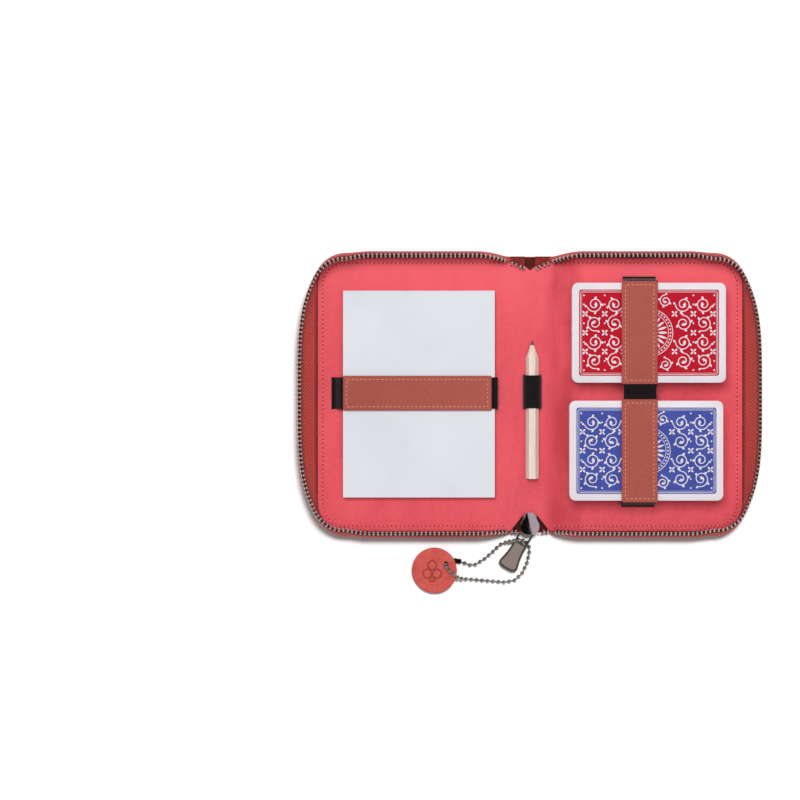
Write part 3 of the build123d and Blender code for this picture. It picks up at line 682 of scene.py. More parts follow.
def soft_noise(x, y, seed):
    """Smooth values from -1 to 1 over the plane, for creases and swell."""
    rng = np.random.default_rng(seed)
    total = np.zeros_like(x)
    for _ in range(9):
        turn, size, phase = rng.uniform(0, 2 * math.pi), rng.uniform(16, 60), rng.uniform(0, 7)
        total += np.sin((x * math.cos(turn) + y * math.sin(turn)) * 2 * math.pi / size + phase)
    return total / 4


def skin_piece(name, shape, material, side, sign, node):
    """A skin over a half and its side of the spine, in place of a half's node and the spine's."""
    skin = piece(name, on_side(shape, sign), material, sharp=60)
    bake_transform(skin)
    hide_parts(f"{side}_{node}", *([f"spine_{node}"] if sign > 0 else []))
    return skin


def build_skins():
    for side, sign in SIDES:
        # lining, a padded top with a turned edge and two creases beside the fold
        flat, columns, border = skin_grid(0, LINING_ROWS, True)
        x, y = flat.T
        crease = 0.2 * np.exp(-((x - 13.5) / 1.6) ** 2)
        crease += 0.22 * np.exp(-((x - 19.5) / 2.4) ** 2) * (1 + np.sin(y / 13 + 1.1 * sign)) / 2
        z = FLOOR - 0.06 + soft_noise(x, y, 3 + sign) * 0.05 - crease
        z[border] = FLOOR - 0.3
        points, faces = [np.column_stack([flat, z])], grid_faces(columns, LINING_ROWS, flip=True)
        skirt(points, faces, border, flat[border], ((0, FLOOR - 0.55), (0, LEATHER)), inward=True)
        shape = (np.vstack(points), faces)
        skin_piece(f"{side}_lining_skin", shape, SUEDE, side, sign, "lining")

        # cover, leather with a skived edge: its underside and then its upper side
        flat, columns, border = skin_grid(COVER_LIP - 0.45, COVER_ROWS, False)
        low = np.maximum(0.04 + 0.04 * soft_noise(*flat.T, 11), 0.0)
        points = [np.column_stack([flat, low]), at_height(flat, LEATHER)]
        under = grid_faces(columns, COVER_ROWS)
        faces = under + grid_faces(columns, COVER_ROWS, flip=True, base=len(flat))
        steps = ((0.3, 0.12), (0.45, 0.45), (0.45, 0.85), (0.3, 1.12))
        ring = skirt(points, faces, border, flat[border], steps)
        faces += strip(ring, [i + len(flat) for i in border])
        shape = (np.vstack(points), faces)
        cover = skin_piece(f"{side}_cover_skin", shape, COVER, side, sign, "cover_leather")
        # the inner side of the cover takes the painted shade of the notch
        cover.data.materials.append(COVER_INNER_SHADE)
        for polygon in cover.data.polygons[len(under):2 * len(under)]:
            polygon.material_index = 1


def edge_line(inset, start, height):
    """A line inside the edge of a half, from a run to as far before its other end."""
    line = []
    for run in np.linspace(start, EDGE_RUN - start, 400):
        (x, y), out, *_ = edge_station(run)
        line.append((x - out[0] * inset, y - out[1] * inset, height))
    return np.array(line)


def build_stitches():
    # inset and start of the row, its height, then pitch, thickness, length, width and upward side
    rows = (
        ("lining_stitches", LINING_THREAD, "lining_suede", 3.0, 3.0, FLOOR - 0.04, 2.5, 0.34, 1.3, 0.55, 1),
        # the needle holes are dark dabs of painted shade
        ("needle_holes", NEEDLE_HOLE, "lining_suede", 3.0, 4.25, FLOOR - 0.03, 2.5, 0.16, 0.85, 0.7, 1),
        ("cover_stitches", COVER_THREAD, "cover_leather", 2.6, 4.0, 0.14, 2.95, 0.34, 1.75, 0.6, -1))
    for side, sign in SIDES:
        for name, look, slot, inset, start, height, *sizes, up in rows:
            row = stitches(edge_line(inset, start, height), *sizes, normal=(0, 0, up))
            piece(f"{side}_{name}", on_side(row, sign), look, f"{side}_half")


# Zip tape and teeth

def wall_offset(flare, bulge, t):
    """Reach of the wall outside its foot at a share of its height."""
    return flare * t + bulge * math.sin(math.pi * t) ** 0.8 * 0.92


def wall_sheet(runs):
    """Tape wall through sections at runs, with uv along and across it."""
    rings, uvs = [], []
    travelled, before = 0, rim_point(runs[0])
    for run in runs:
        (x, y), (out_x, out_y), flare, bulge, height = edge_station(run)
        top = height - TOOTH_SEAT
        rim = rim_point(run)
        travelled += np.linalg.norm(rim - before)
        before = rim
        inner, outer, row_uv = [], [], []
        for z in (LEATHER, (LEATHER + FLOOR) / 2, *np.linspace(FLOOR, top, 13)):
            t = min(1.0, max(0.0, (z - FLOOR) / max(top - FLOOR, 0.1)))
            reach = TAPE_GAP + wall_offset(flare, bulge, t)
            inner.append((x + out_x * reach, y + out_y * reach, z))
            outer.append((x + out_x * (reach + TAPE), y + out_y * (reach + TAPE), z))
            row_uv.append((travelled, t * (RIM - FLOOR)))
        rings.append(inner + outer[::-1])
        uvs += row_uv + row_uv[::-1]
    return loft(rings), uvs


def tooth_shape():
    """A tooth across the tape's edge: X along the row, Y across, Z away from the tape."""
    half = [(0.8, -1.7), (1.4, -1.6), (1.4, -0.7), (1.2, -0.2), (0.9, 0.45), (0.5, 0.78)]
    outline = half + [(0, 0.9)] + [(-x, y) for x, y in half[::-1]]
    steps = [(-0.3, -0.55), (-0.08, -0.44), (0, -0.25), (0, 0.25), (-0.08, 0.44), (-0.3, 0.55)]
    points, faces = plate(outline, steps)
    return points[:, [2, 0, 1]], faces


TOOTH = tooth_shape()


def rim_axes(run):
    """The rim's place with its directions along, across and away from the tape."""
    origin = rim_point(run)
    along = rim_point(run + ROW_STEP) - rim_point(run - ROW_STEP)
    along /= np.linalg.norm(along)
    along[2] *= min(1, (RIM - origin[2]) / TOOTH_LEAN_DROP)
    along /= np.linalg.norm(along)
    up = np.array([0, 0, 1.0]) - along * along[2]
    up /= np.linalg.norm(up)
    across = np.cross(up, along)
    lean = 0.9 * math.atan(max(0, edge_station(run)[2]) / (RIM - FLOOR))
    c, s = math.cos(lean), math.sin(lean)
    return origin, along, across * c - up * s, up * c + across * s


def eased(run):
    """A row's last teeth stand a little nearer to the fold, to close its gap."""
    from_end = min(run, EDGE_RUN - run)
    shift = 0.75 * max(0.0, 1 - from_end / 16)
    return run - shift if run < EDGE_RUN / 2 else run + shift


def teeth_row(offset):
    """Teeth one pitch apart along the edge of a half, the first one at an offset."""
    parts = []
    wanted, travelled, run = offset, 0, FOLD_TOOTH_CLEAR
    while run < EDGE_RUN - FOLD_TOOTH_CLEAR:
        length = np.linalg.norm(rim_point(run + ROW_STEP) - rim_point(run))
        if travelled + length > wanted:
            parts.append(moved(TOOTH, *rim_axes(eased(run + ROW_STEP * (wanted - travelled) / length))))
            wanted += TOOTH_PITCH
        travelled += length
        run += ROW_STEP
    return joined(parts)


def teeth_piece(name, row, body, node):
    """A row of teeth, whose uv says where on its tooth a point is."""
    uvs = np.tile(TOOTH[0][:, 1:], (len(row[0]) // len(TOOTH[0]), 1))
    piece(name, row, TEETH_METAL, body, node, uvs, 40)


def edge_runs():
    """Places along the edge of a half, closer where it turns."""
    corner = END_RUN + CORNER_RUN
    half = np.concatenate([
        np.linspace(0.1, 40, 50), np.linspace(42, END_RUN - 16, 18),
        np.linspace(END_RUN - 15, corner, 40)[:-1], np.linspace(corner, EDGE_RUN / 2, 30)])
    return np.concatenate([half, EDGE_RUN - half[::-1][1:]])


def build_zip():
    for (side, sign), offset in zip(SIDES, (0, TOOTH_PITCH / 2)):
        wall, uvs = wall_sheet(edge_runs())
        piece(f"{side}_zip_wall", on_side(wall, sign), TAPE_CLOTH, f"{side}_half",
              f"{side}_zip_tape", uvs, 50)
        teeth_piece(f"{side}_teeth", on_side(teeth_row(offset), sign), f"{side}_half", f"{side}_zip_teeth")

    # the ends of the tapes, on the spine
    wall, uvs = wall_sheet(np.linspace(NOTCH_HALF_WIDTH - FOLD_X, -0.1, 24))
    # the top ends take the darker copy of the tape, as painted shade
    piece("tape_end_top", with_mirror(wall), TAPE_ENDS_SHADED, "spine", "zip_tape_end_top", uvs * 2, 50)
    face_y = -HALF_DEPTH - TAPE_GAP
    rings = []
    for x in np.linspace(SLIDER_WIDTH / 2 - 0.6, FOLD_X - 0.15, 12):
        share = (FOLD_X - x) / (FOLD_X - SLIDER_WIDTH / 2)
        low = LEATHER + (SLIDER_MIDDLE - 1.7 - LEATHER) * max(0, min(1, (share - 0.1) / 0.7))
        top = max(FOLD_HEIGHT + (SLIDER_MIDDLE - FOLD_HEIGHT) * share - TOOTH_SEAT, low + 0.3)
        rings.append([(x, face_y, low), (x, face_y, top), (x, face_y - TAPE, top), (x, face_y - TAPE, low)])
    wall = loft(rings)
    uvs = [(p[0], p[2]) for p in wall[0]] * 2
    both = with_mirror(wall)
    piece("tape_end_bottom", both, TAPE_CLOTH, "spine", "zip_tape_end_bottom", uvs, 50)

    runs = (-5.8, -3.3, -0.95, EDGE_RUN + 1.2, EDGE_RUN + 3.5)
    row = joined([moved(TOOTH, *rim_axes(run)) for run in runs])
    teeth_piece("spine_teeth", with_mirror(row), "spine", "spine_zip_teeth")
    steps = [(-0.3, -1.5), (0, -1.2), (0, -0.5), (-0.15, -0.2), (-0.45, -0.05)]
    stop = plate(round_rect(1.5, 2.6, 0.5), steps)
    stops = with_mirror(moved(stop, *rim_axes(NOTCH_HALF_WIDTH - FOLD_X + 0.75)))
    uvs = [(0, 0.5)] * len(stops[0])
    piece("top_stops", stops, TEETH_METAL, "spine", "zip_top_stops", uvs, 50)


# Cards

CARD_LENGTH, CARD_WIDTH, CARD = 88.0, 57.2, 0.29
CARDS_BELOW = 53
RED_DECK, BLUE_DECK = (68.2, 35.4), (66.7, -32.2)
DECKS = (("red", RED_DECK, RED_PRINT), ("blue", BLUE_DECK, BLUE_PRINT))
CONTENTS_BASE = FLOOR + 0.1
DECK_TOP = CONTENTS_BASE + (CARDS_BELOW + 1) * CARD


def stroke(line, width, z, closed=False):
    """A flat drawn line."""
    p = np.asarray(line, float)
    if closed:
        p = np.vstack([p, p[:1]])
    along = np.gradient(p, axis=0)
    if closed:
        along[0] = along[-1] = p[1] - p[-2]
    side = right_of(unit(along)) * width / 2
    n = len(p)
    points = np.vstack([at_height(p + side, z), at_height(p - side, z)])
    return points, [[i, i + 1, n + i + 1, n + i] for i in range(n - 1)]


def blob(outline, z):
    """A flat filled shape."""
    return at_height(outline, z), [list(range(len(outline)))]


def petal(centre, angle, start, length, width, z):
    """A pointed leaf from a centre."""
    t = np.linspace(0, 1, 7)
    along = start + length * t
    half = width / 2 * np.sin(math.pi * t) ** 0.8
    local = np.concatenate([np.stack([along, -half], 1), np.stack([along[::-1], half[::-1]], 1)[1:-1]])
    c, s = math.cos(angle), math.sin(angle)
    return blob(local @ np.array([[c, s], [-s, c]]) + np.asarray(centre), z)


def ornament(z):
    """A generic card back: a rosette in a ring of beads, rows of curled tendrils
    with leaves round it, and a double frame."""
    parts = []

    def leaf(*sizes):
        parts.append(petal(*sizes, z))

    def dot(centre, radius):
        parts.append(blob(circle(centre, radius, 8), z))

    def tendril(centre, size, turn, hand):
        """A curl that ends in a bud and bears leaves on its outer side."""
        t = np.linspace(0, 1, 44)
        angle, radius = turn + hand * t * 2.9 * math.pi, size * (1 - 0.72 * t)
        line = np.stack([centre[0] + radius * np.cos(angle), centre[1] + radius * np.sin(angle)], 1)
        parts.append(stroke(line, 0.54, z))
        for k, at in enumerate((0, 7, 14, 21)):
            leaf(line[at], angle[at] - hand * 0.75, 0.1, size * (0.44 if k else 0.36), 1.25)
        for k in (-1, 0, 1):
            leaf(line[-1], angle[-1] + math.pi + k * 0.95, -0.2, size * 0.4, 1.0)

    for inset, width in ((4.7, 0.3), (5.45, 0.16)):
        frame_line = round_rect(CARD_LENGTH - 2 * inset, CARD_WIDTH - 2 * inset, 1.6, 5)
        parts.append(stroke(frame_line, width, z, True))
    for radius, width in ((13.6, 0.4), (11.2, 0.28), (4.4, 0.25)):
        parts.append(stroke(circle((0, 0), radius, 64), width, z, True))
    for centre in circle((0, 0), 12.4, 40):
        dot(centre, 0.5)
    for angle in around(20):
        leaf((0, 0), angle, 4.9, 5.9, 1.35)
    for angle in around(10):
        leaf((0, 0), angle + math.pi / 10, 1.0, 3.1, 1.3)
    marks = [(14.6, 10.8), (14.6, -10.8)] + [(x, y) for x in (25.4, 36.6) for y in (0, 10.8, -10.8)]
    for sx in (1, -1):
        for i, x in enumerate((19.6, 31.2)):
            for j, y in enumerate((-16.2, -5.4, 5.4, 16.2)):
                turn = (0.5 + 0.5 * (j % 2) + i * 0.9) * math.pi
                tendril((sx * x, y), 4.5, turn if sx > 0 else math.pi - turn, sx * (1 if (i + j) % 2 else -1))
        for x, y in marks:
            for angle in around(4):
                leaf((sx * x, y), angle + math.pi / 4, 0.35, 1.85, 1.1)
            dot((sx * x, y), 0.3)
        for x in (25.4, 37.3):
            for y in (-21.4, -16.2, -5.4, 5.4, 16.2, 21.4):
                dot((sx * x, y), 0.5)
    for sy in (1, -1):
        for x in (-9.4, 9.4):
            tendril((x, sy * 18.2), 3.5, math.pi / 2, 1 if x * sy > 0 else -1)
        for k in (-2, -1, 0, 1, 2):
            leaf((0, sy * 15.2), sy * (k * 0.5 + math.pi / 2), 0.4, 4.6 - 0.5 * abs(k), 1.2)
    # each line on its own level, so that none lies in another
    return joined([(points + (0, 0, 0.001 * (i % 25)), faces) for i, (points, faces) in enumerate(parts)])


def build_cards():
    outline = round_rect(CARD_LENGTH, CARD_WIDTH, 3.5, 7)
    field = round_rect(CARD_LENGTH - 7.8, CARD_WIDTH - 7.8, 1.4, 6)
    for colour, place, print_look in DECKS:
        deck, back = f"{colour}_deck", f"{colour}_card_back"
        stack = []
        for i in range(CARDS_BELOW):
            shift = np.array([random.gauss(0, 0.05), random.gauss(0, 0.05)]).clip(-0.12, 0.12)
            low = CONTENTS_BASE + i * CARD
            high = low + CARD
            card = outset(outline, -0.15) + place + shift
            steps = [(-0.05, low + 0.015), (0, low + 0.06), (0, high - 0.06), (-0.05, high - 0.015)]
            stack.append(plate(card, steps))
        piece(f"{deck}_stack", joined(stack), CARD_STOCK, deck, f"{deck}_cards", sharp=50)
        low, high = DECK_TOP - CARD, DECK_TOP
        card = plate(outline + place, [(-0.06, low), (0, low + 0.05), (0, high - 0.05), (-0.06, high)])
        piece(f"{colour}_card_top", card, CARD_STOCK, deck, f"{colour}_top_card", sharp=50)
        piece(f"{colour}_card_field", blob(field + place, DECK_TOP + 0.012), print_look, deck)
        points, faces = ornament(DECK_TOP + 0.022)
        piece(f"{colour}_card_ornament", (points + (*place, 0), faces), WHITE_PRINT, deck)


# Straps, notepad and pencil

PAD_TOP = CONTENTS_BASE + 5.0
PAD_X, PAD_Y = -64.4, 0.2
PAD_LENGTH, PAD_WIDTH = 119.6, 87.9
PAD_BACKING, SHEETS, SHEET = 0.6, 40, 0.11
CARD_STRAP_X, CARD_STRAP_WIDTH = 62.7, 19.2
PAD_STRAP_Y, PAD_STRAP_WIDTH = 0.8, 18.3
STRAP_THICKNESS = 0.85
STRAP_FOOT = FLOOR + 0.03
STRAP_SLACK = 0.25
PENCIL_X = 1.3
PENCIL_AXIS = CONTENTS_BASE + 3.75 * math.sqrt(3) / 2
LOOP_WIDTH = 19.9


def band(line, width, thickness, across, frayed=0.0):
    """A woven band: its underside follows a line of (along, height); across is
    the axis of its width. Gives points, faces and uvs."""
    line = np.asarray(line, float)
    along = unit(np.gradient(line, axis=0))
    normal = -right_of(along)
    if along[len(along) // 2, 0] < 0:
        normal = -normal
    travelled = np.concatenate([[0], np.cumsum(np.linalg.norm(np.diff(line, axis=0), axis=1))])
    shares = np.linspace(-1, 1, 43)
    rib = 0.05 * np.cos(shares * math.pi * 10)
    thick = thickness * (1 - 0.45 * np.abs(shares) ** 16) + rib - 0.05
    rings, uvs = [], []
    for i, (place, n) in enumerate(zip(line, normal)):
        end = min(i, len(line) - 1 - i) / 4
        half = width / 2 + frayed * max(0, 1 - end)
        upper = [(place + n * h, s * half) for s, h in zip(shares, thick)]
        lower = [(place + n * 0.02, s * half) for s in shares[::-1]]
        rings.append([(q[0], w, q[1]) if across == "Y" else (w, q[0], q[1]) for q, w in upper + lower])
        uvs += [(s * half, travelled[i]) for s in (*shares, *shares[::-1])]
    points, faces = loft(rings)
    return points, faces, uvs


def leather_patch(name, width, length, low, centre, body, node):
    """A stitched patch with a rounded edge and a slight swell."""
    steps = [(0.25, 0), (0, 0.22), (0, 0.75), (0.14, 0.98), (0.38, 1.1), (0.9, 1.14), (1.6, 1.1), (2.2, 1.0),
             (2.8, 1.1), (3.5, 1.17), (min(width, length) / 2 - 0.4, 1.2)]
    rings = []
    for inward, z in steps:
        ring = round_rect(width - 2 * inward, length - 2 * inward, max(0.1, 0.8 - inward), 4, centre)
        rings.append(at_height(ring, low + z))
    piece(name, loft(rings), PATCH, body, node, sharp=50)
    line = at_height(round_rect(width - 4.4, length - 4.4, 0.5, 3, centre), low + 1.0)
    thread = stitches(line, 2.45, 0.46, 1.55, 0.46, closed=True)
    piece(f"{name}_stitches", thread, THREAD, body)


def build_straps():
    high, foot = DECK_TOP + STRAP_SLACK, STRAP_FOOT
    start, end = BLUE_DECK[1] - CARD_WIDTH / 2, RED_DECK[1] + CARD_WIDTH / 2
    blue_end, red_start = BLUE_DECK[1] + CARD_WIDTH / 2, RED_DECK[1] - CARD_WIDTH / 2
    middle = (blue_end + red_start) / 2
    line = [(start - 4.8, foot), (start - 3.6, foot), (start - 2.5, foot + 3), (start - 0.7, high - 1.6),
            (start + 0.8, high), (start + 12, high), (blue_end - 12, high), (blue_end - 0.6, high),
            (middle - 1.6, high - 2.0), (middle, high - 2.4), (middle + 1.6, high - 2.0),
            (red_start + 0.6, high), (red_start + 12, high), (end - 12, high), (end - 0.8, high),
            (end + 0.7, high - 1.6), (end + 2.5, foot + 3), (end + 3.6, foot), (end + 4.8, foot)]
    points, faces, uvs = band(smooth_line(line, 0.6), CARD_STRAP_WIDTH, STRAP_THICKNESS, "X")
    # the band bows in a little where it spans the gap between the decks, and slants
    points[:, 0] *= 1 - 0.035 * np.exp(-((points[:, 1] - middle) / 3.2) ** 2)
    points[:, 0] += CARD_STRAP_X + 0.5 + 0.35 * points[:, 1] / 60
    strap = (points, faces)
    piece("card_strap_band", strap, ELASTIC, "back_half", "card_strap_elastic", uvs, 60)
    for colour, place, _ in DECKS:
        leather_patch(f"{colour}_strap_leather", 20.6, 59.0, high + 0.9, (CARD_STRAP_X, place[1]),
                      "back_half", f"{colour}_strap_patch")
    top = PAD_TOP + STRAP_SLACK
    outer, inner = PAD_X - 44, PAD_X + 44
    line = [(outer - 7.3, foot), (outer - 6.0, foot), (outer - 4.2, foot + 1.1), (outer - 1.4, top - 0.9),
            (outer + 0.6, top), (outer + 16, top), (PAD_X, top), (inner - 16, top), (inner - 0.2, top),
            (inner + 0.36, top - 0.5), (inner + 0.75, top - 2.2), (inner + 0.95, foot)]
    points, faces, uvs = band(smooth_line(line, 0.6), PAD_STRAP_WIDTH, STRAP_THICKNESS, "Y", frayed=0.25)
    strap = (points + (0, PAD_STRAP_Y, 0), faces)
    piece("notepad_strap_band", strap, ELASTIC, "front_half", "notepad_strap_elastic",
          uvs, 60)
    leather_patch("notepad_strap_leather", 86.0, 20.1, top + 0.9, (PAD_X - 0.8, PAD_STRAP_Y), "front_half",
                  "notepad_strap_patch")


def build_notepad():
    """The pad's sheets, above its backing."""
    sheets = []
    for i in range(SHEETS):
        centre = (PAD_X + random.gauss(0, 0.02), PAD_Y - 0.15 + random.gauss(0, 0.02))
        outline = round_rect(PAD_WIDTH, PAD_LENGTH, 0.15, 1, centre)
        low = CONTENTS_BASE + PAD_BACKING + i * SHEET
        high = low + SHEET
        steps = [(-0.02, low + 0.005), (0, low + 0.03), (0, high - 0.03), (-0.02, high - 0.005)]
        sheets.append(plate(outline, steps))
    piece("notepad_paper", joined(sheets), PAPER, "notepad", "notepad_sheets", sharp=40)


def dress(name, material):
    """Give a CAD node that stays a look. Gives the node."""
    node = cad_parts[name]
    node.data.materials.clear()
    node.data.materials.append(material)
    return node


def build_pencil():
    """The pencil's loop, and the looks of the CAD nodes that stay."""
    line = [(-5.0, STRAP_FOOT)]
    for a in math.pi * np.linspace(1.22, -0.22, 29):
        x = 4.45 * math.copysign(abs(math.cos(a)) ** 0.8, math.cos(a))
        line.append((x, max(PENCIL_AXIS + 3.62 * math.sin(a), STRAP_FOOT)))
    line.append((5.0, STRAP_FOOT))
    points, faces, uvs = band(resample(line, 0.7)[0], LOOP_WIDTH, 0.8, "Y", frayed=0.1)
    # pulled edges: the band is a little shorter over the pencil than at its feet
    points[:, 1] *= 1 - 0.05 * np.clip((points[:, 2] - FLOOR) / 8, 0, 1)
    shape = (points + (PENCIL_X, 1.55, 0), faces)
    piece("pencil_loop_band", shape, ELASTIC, "spine", "pencil_loop", uvs, 60)
    pencil = dress("pencil_wood", wood_look())
    dress("pencil_lead", object_look("pencil_lead", (96, 92, 98), (78, 74, 80), 0.45, 900))
    dress("notepad_backing", object_look("pad_backing", (176, 160, 140), (160, 144, 124), 0.85))
    dress("notepad_glue_strip", object_look("pad_glue", (226, 228, 232), (214, 216, 222), 0.5))
    # painted shade: the boards are coloured dark so that their edges in the notch read as shade lines
    board = object_look("board", (62, 34, 31), (50, 27, 25), 0.9)
    for name in ("back_board", "front_board", "spine_board"):
        dress(name, board)
    bevel = pencil.modifiers.new("wear_and_shade", "BEVEL")
    bevel.width, bevel.segments, bevel.limit_method = 0.0003, 3, "ANGLE"


# Slider, puller, chain and tag

PULLER_PIVOT = (0, -77.5, 3.25)
PULLER_TURN = math.radians(-30)
BALL_PITCH = 3.2
TAG_CENTRE = np.array((-55.8, -102.6, 2.85))
TAG_TILT = math.radians(6.5)
TAG_X = np.array((math.cos(TAG_TILT), 0, math.sin(TAG_TILT)))
TAG_Z = np.array((-math.sin(TAG_TILT), 0, math.cos(TAG_TILT)))
TAG_HOLE = (6.94, 3.8)
CHAIN_ROUTE = [
    (-48.6, -100.3, 6.7), (-46.3, -102.8, 7.1), (-43.5, -105.3, 6.9), (-41.0, -106.9, 5.0),
    (-39.0, -107.6, 2.8), (-36.3, -107.9, 1.25), (-24.6, -108.9, 1.25), (-14.7, -109.7, 1.25),
    (-8.6, -108.4, 1.25), (-4.4, -104.2, 1.25), (-1.6, -98.1, 1.25), (-0.2, -91.6, 1.25),
    (-0.5, -88.9, 1.25), (-1.5, -87.0, 1.25), (-2.9, -85.6, 1.9), (-4.6, -84.9, 3.9),
    (-6.4, -84.6, 5.5), (-8.2, -84.7, 6.1), (-10.2, -85.1, 5.6), (-12.6, -85.8, 3.4),
    (-15.0, -86.7, 1.6), (-17.8, -87.9, 1.25), (-21.6, -91.8, 1.25), (-26.6, -96.1, 1.25),
    (-32.0, -99.4, 1.25), (-34.9, -99.7, 1.25), (-37.5, -98.7, 1.5), (-41.2, -97.4, 1.6),
    (-44.6, -97.0, 1.25), (-47.5, -97.8, 1.25)]


def build_slider():
    rear, middle = -68.7, np.array([0, -75.95])
    half = [(-0.5, 0), (-1.9, 0.15), (-2.5, 0.8), (-2.75, 1.9), (-3.3, 3.2), (-4.5, 4.9), (-5.3, 6.7),
            (-5.45, 8.2), (-5.1, 9.8), (-4.1, 11.3), (-2.5, 12.35), (-0.85, 12.68)]
    outline = rounded(both_sides([(x, rear - y) for x, y in half]), 0.55)

    def domed(inner, sign):
        """A plate that swells away from the height of its inner face."""
        rings = rings_of(outline, [(-0.25, 0), (0, 0.18), (0, 0.5)])
        for share in (0.98, 0.94, 0.88, 0.81, 0.73, 0.64, 0.54, 0.43, 0.32, 0.21, 0.1):
            swell = 0.5 + 0.55 * (1 - share**2) ** 0.75
            rings.append(at_height((outline - middle) * share + middle, swell))
        points, faces = loft(rings)
        points[:, 2] = inner + sign * points[:, 2]
        return points, (faces if sign > 0 else [f[::-1] for f in faces])

    top, bottom = domed(8.3, 1), domed(5.1, -1)
    # the narrow rear slopes down to the meshed teeth
    top[0][:, 2] -= 0.12 * np.clip((top[0][:, 1] - (rear - 2.6)) / 2.6, 0, 1) ** 2
    between = [(0, 4.8), (0, 8.6)]
    wedge = rounded([(0, -75.4), (-1.45, -77.6), (-1.5, -80.9), (1.5, -80.9), (1.45, -77.6)], 0.5)
    rail = [(3.2, rear - 0.9), (2.2, rear - 0.9), (2.2, rear - 4.4), (3.9, rear - 6.9), (4.9, rear - 6.7)]
    rails = [resample(line, 0.5, True)[0] for line in (rail, [(-x, y) for x, y in rail[::-1]])]
    body = joined([top, bottom, *(plate(line, between) for line in (wedge, *rails))])
    piece("zip_slider", body, SLIDER_METAL, "spine", "slider_body", sharp=45)
    bevel = dress("slider_crown", CROWN_METAL).modifiers.new("rounded", "BEVEL")
    bevel.width, bevel.segments = 0.00025, 3


def tube(line, radius, count, closed=False):
    """A round bar along a line of points."""
    line = np.asarray(line, float)
    along = unit(np.roll(line, -1, 0) - np.roll(line, 1, 0) if closed else np.gradient(line, axis=0))
    side = unit(np.cross(along, (0, 0, 1)))
    up = np.cross(side, along)
    points, faces = loft([hoop(line[i], side[i], up[i], radius, count) for i in range(len(line))], not closed)
    if closed:
        last = len(points) - count
        faces += [[last + j, last + (j + 1) % count, (j + 1) % count, j] for j in range(count)]
    return points, faces


def swung(shape):
    """From the puller's own axes, pointing along -Y from its pivot, to its place."""
    c, s = math.cos(PULLER_TURN), math.sin(PULLER_TURN)
    return moved(shape, PULLER_PIVOT, (c, s, 0), (-s, c, 0))


def build_puller():
    corners = [(3.55, 0.0), (3.55, -6), (3.45, -11.0), (-3.45, -11.0), (-3.55, -6), (-3.55, 0.0)]
    loop = resample(corners, 0.8, True)[0]
    loop = (np.roll(loop, 1, 0) + loop * 2 + np.roll(loop, -1, 0)) / 4
    ring = tube(at_height(loop, 0.0), 0.6, 12, closed=True)
    half = [(2.6, -10.35), (3.9, -10.7), (4.2, -11.6), (4.1, -14), (4.35, -17.5), (4.95, -21), (5.75, -24.3),
            (5.75, -25.6), (4.9, -26.9), (2.6, -27.75)]
    outline = rounded(both_sides(half), 0.5)[::-1]
    steps = [(-0.3, -0.78), (0, -0.5), (0, 0.5), (-0.25, 0.76), (-0.75, 0.78), (-0.98, 0.52), (-1.2, 0.48)]
    points, faces = loft(rings_of(outline, steps), caps=False)
    faces.append(list(range(len(outline)))[::-1])
    face = blob(outset(outline, -1.2), 0.48)
    piece("puller_frame", swung((points, faces)), PULLER_RIM, "puller", "puller", sharp=40)
    piece("puller_ring", swung(ring), PULLER_RIM, "puller")
    piece("puller_plate", swung(face), PULLER_FACE, "puller")


def ball(centre, radius):
    """A ball, flat at its poles."""
    rows = []
    for a in np.arange(1, 9) * math.pi / 9:
        middle = centre - (0, 0, radius * math.cos(a))
        rows.append(hoop(middle, np.array([1, 0, 0]), np.array([0, 1, 0]), radius * math.sin(a), 14))
    return loft(rows)


def build_chain():
    hole = TAG_CENTRE + TAG_X * TAG_HOLE[0] + (0, TAG_HOLE[1], 0)
    corners = np.array([hole, *CHAIN_ROUTE, hole])
    total = np.concatenate([[0], np.cumsum(np.linalg.norm(np.diff(corners, axis=0), axis=1))])
    count = round(total[-1] / BALL_PITCH)
    at = np.arange(count) * total[-1] / count
    balls = np.column_stack([np.interp(at, total, column) for column in corners.T])
    # the clasp covers two balls
    first = int(count - 8.0 / BALL_PITCH)
    parts = [ball(p, 1.2) for i, p in enumerate(balls) if i not in (first, first + 1)]
    parts += [tube(np.linspace(a, b, 3), 0.36, 8) for a, b in zip(balls, np.roll(balls, -1, 0))]
    piece("bead_chain", joined(parts), CHAIN_METAL, "chain", "ball_chain", sharp=50)
    middle = (balls[first] + balls[first + 1]) / 2
    axis = balls[first + 1] - balls[first]
    axis /= np.linalg.norm(axis)
    side = np.cross((0, 0, 1), axis)
    side /= np.linalg.norm(side)
    up = np.cross(axis, side)
    profile = [(-2.5, 0.7), (-2.42, 1.15), (-2.1, 1.42), (-1.2, 1.5), (-0.9, 1.36)]
    profile += [(-x, r) for x, r in profile[::-1]]
    clasp = loft([hoop(middle + axis * x, side, up, r, 20) for x, r in profile])
    piece("chain_coupling", clasp, CLASP_METAL, "chain", "chain_clasp", sharp=50)


def clover_groove(p):
    """How near a point of the tag is to the outline of the clover pressed into it."""
    leaves = [circle((3.3 * math.cos(a), 3.3 * math.sin(a)), 2.55, 60) for a in np.radians((90, 210, 330))]
    line = [q for k, leaf in enumerate(leaves) for q in leaf
            if all(math.dist(q, other.mean(0)) > 2.5 for n, other in enumerate(leaves) if n != k)]
    stem = [(0.3, -1.4), (0.7, -4.0), (1.7, -6.0), (-1.7, -6.0), (-0.7, -4.0), (-0.3, -1.4)]
    line = np.array([*line, *resample(stem, 0.25)[0]]) + (-1.2, -0.3)
    return np.sqrt(((p[:, None, :] - line[None, :, :]) ** 2).sum(2)).min(1)


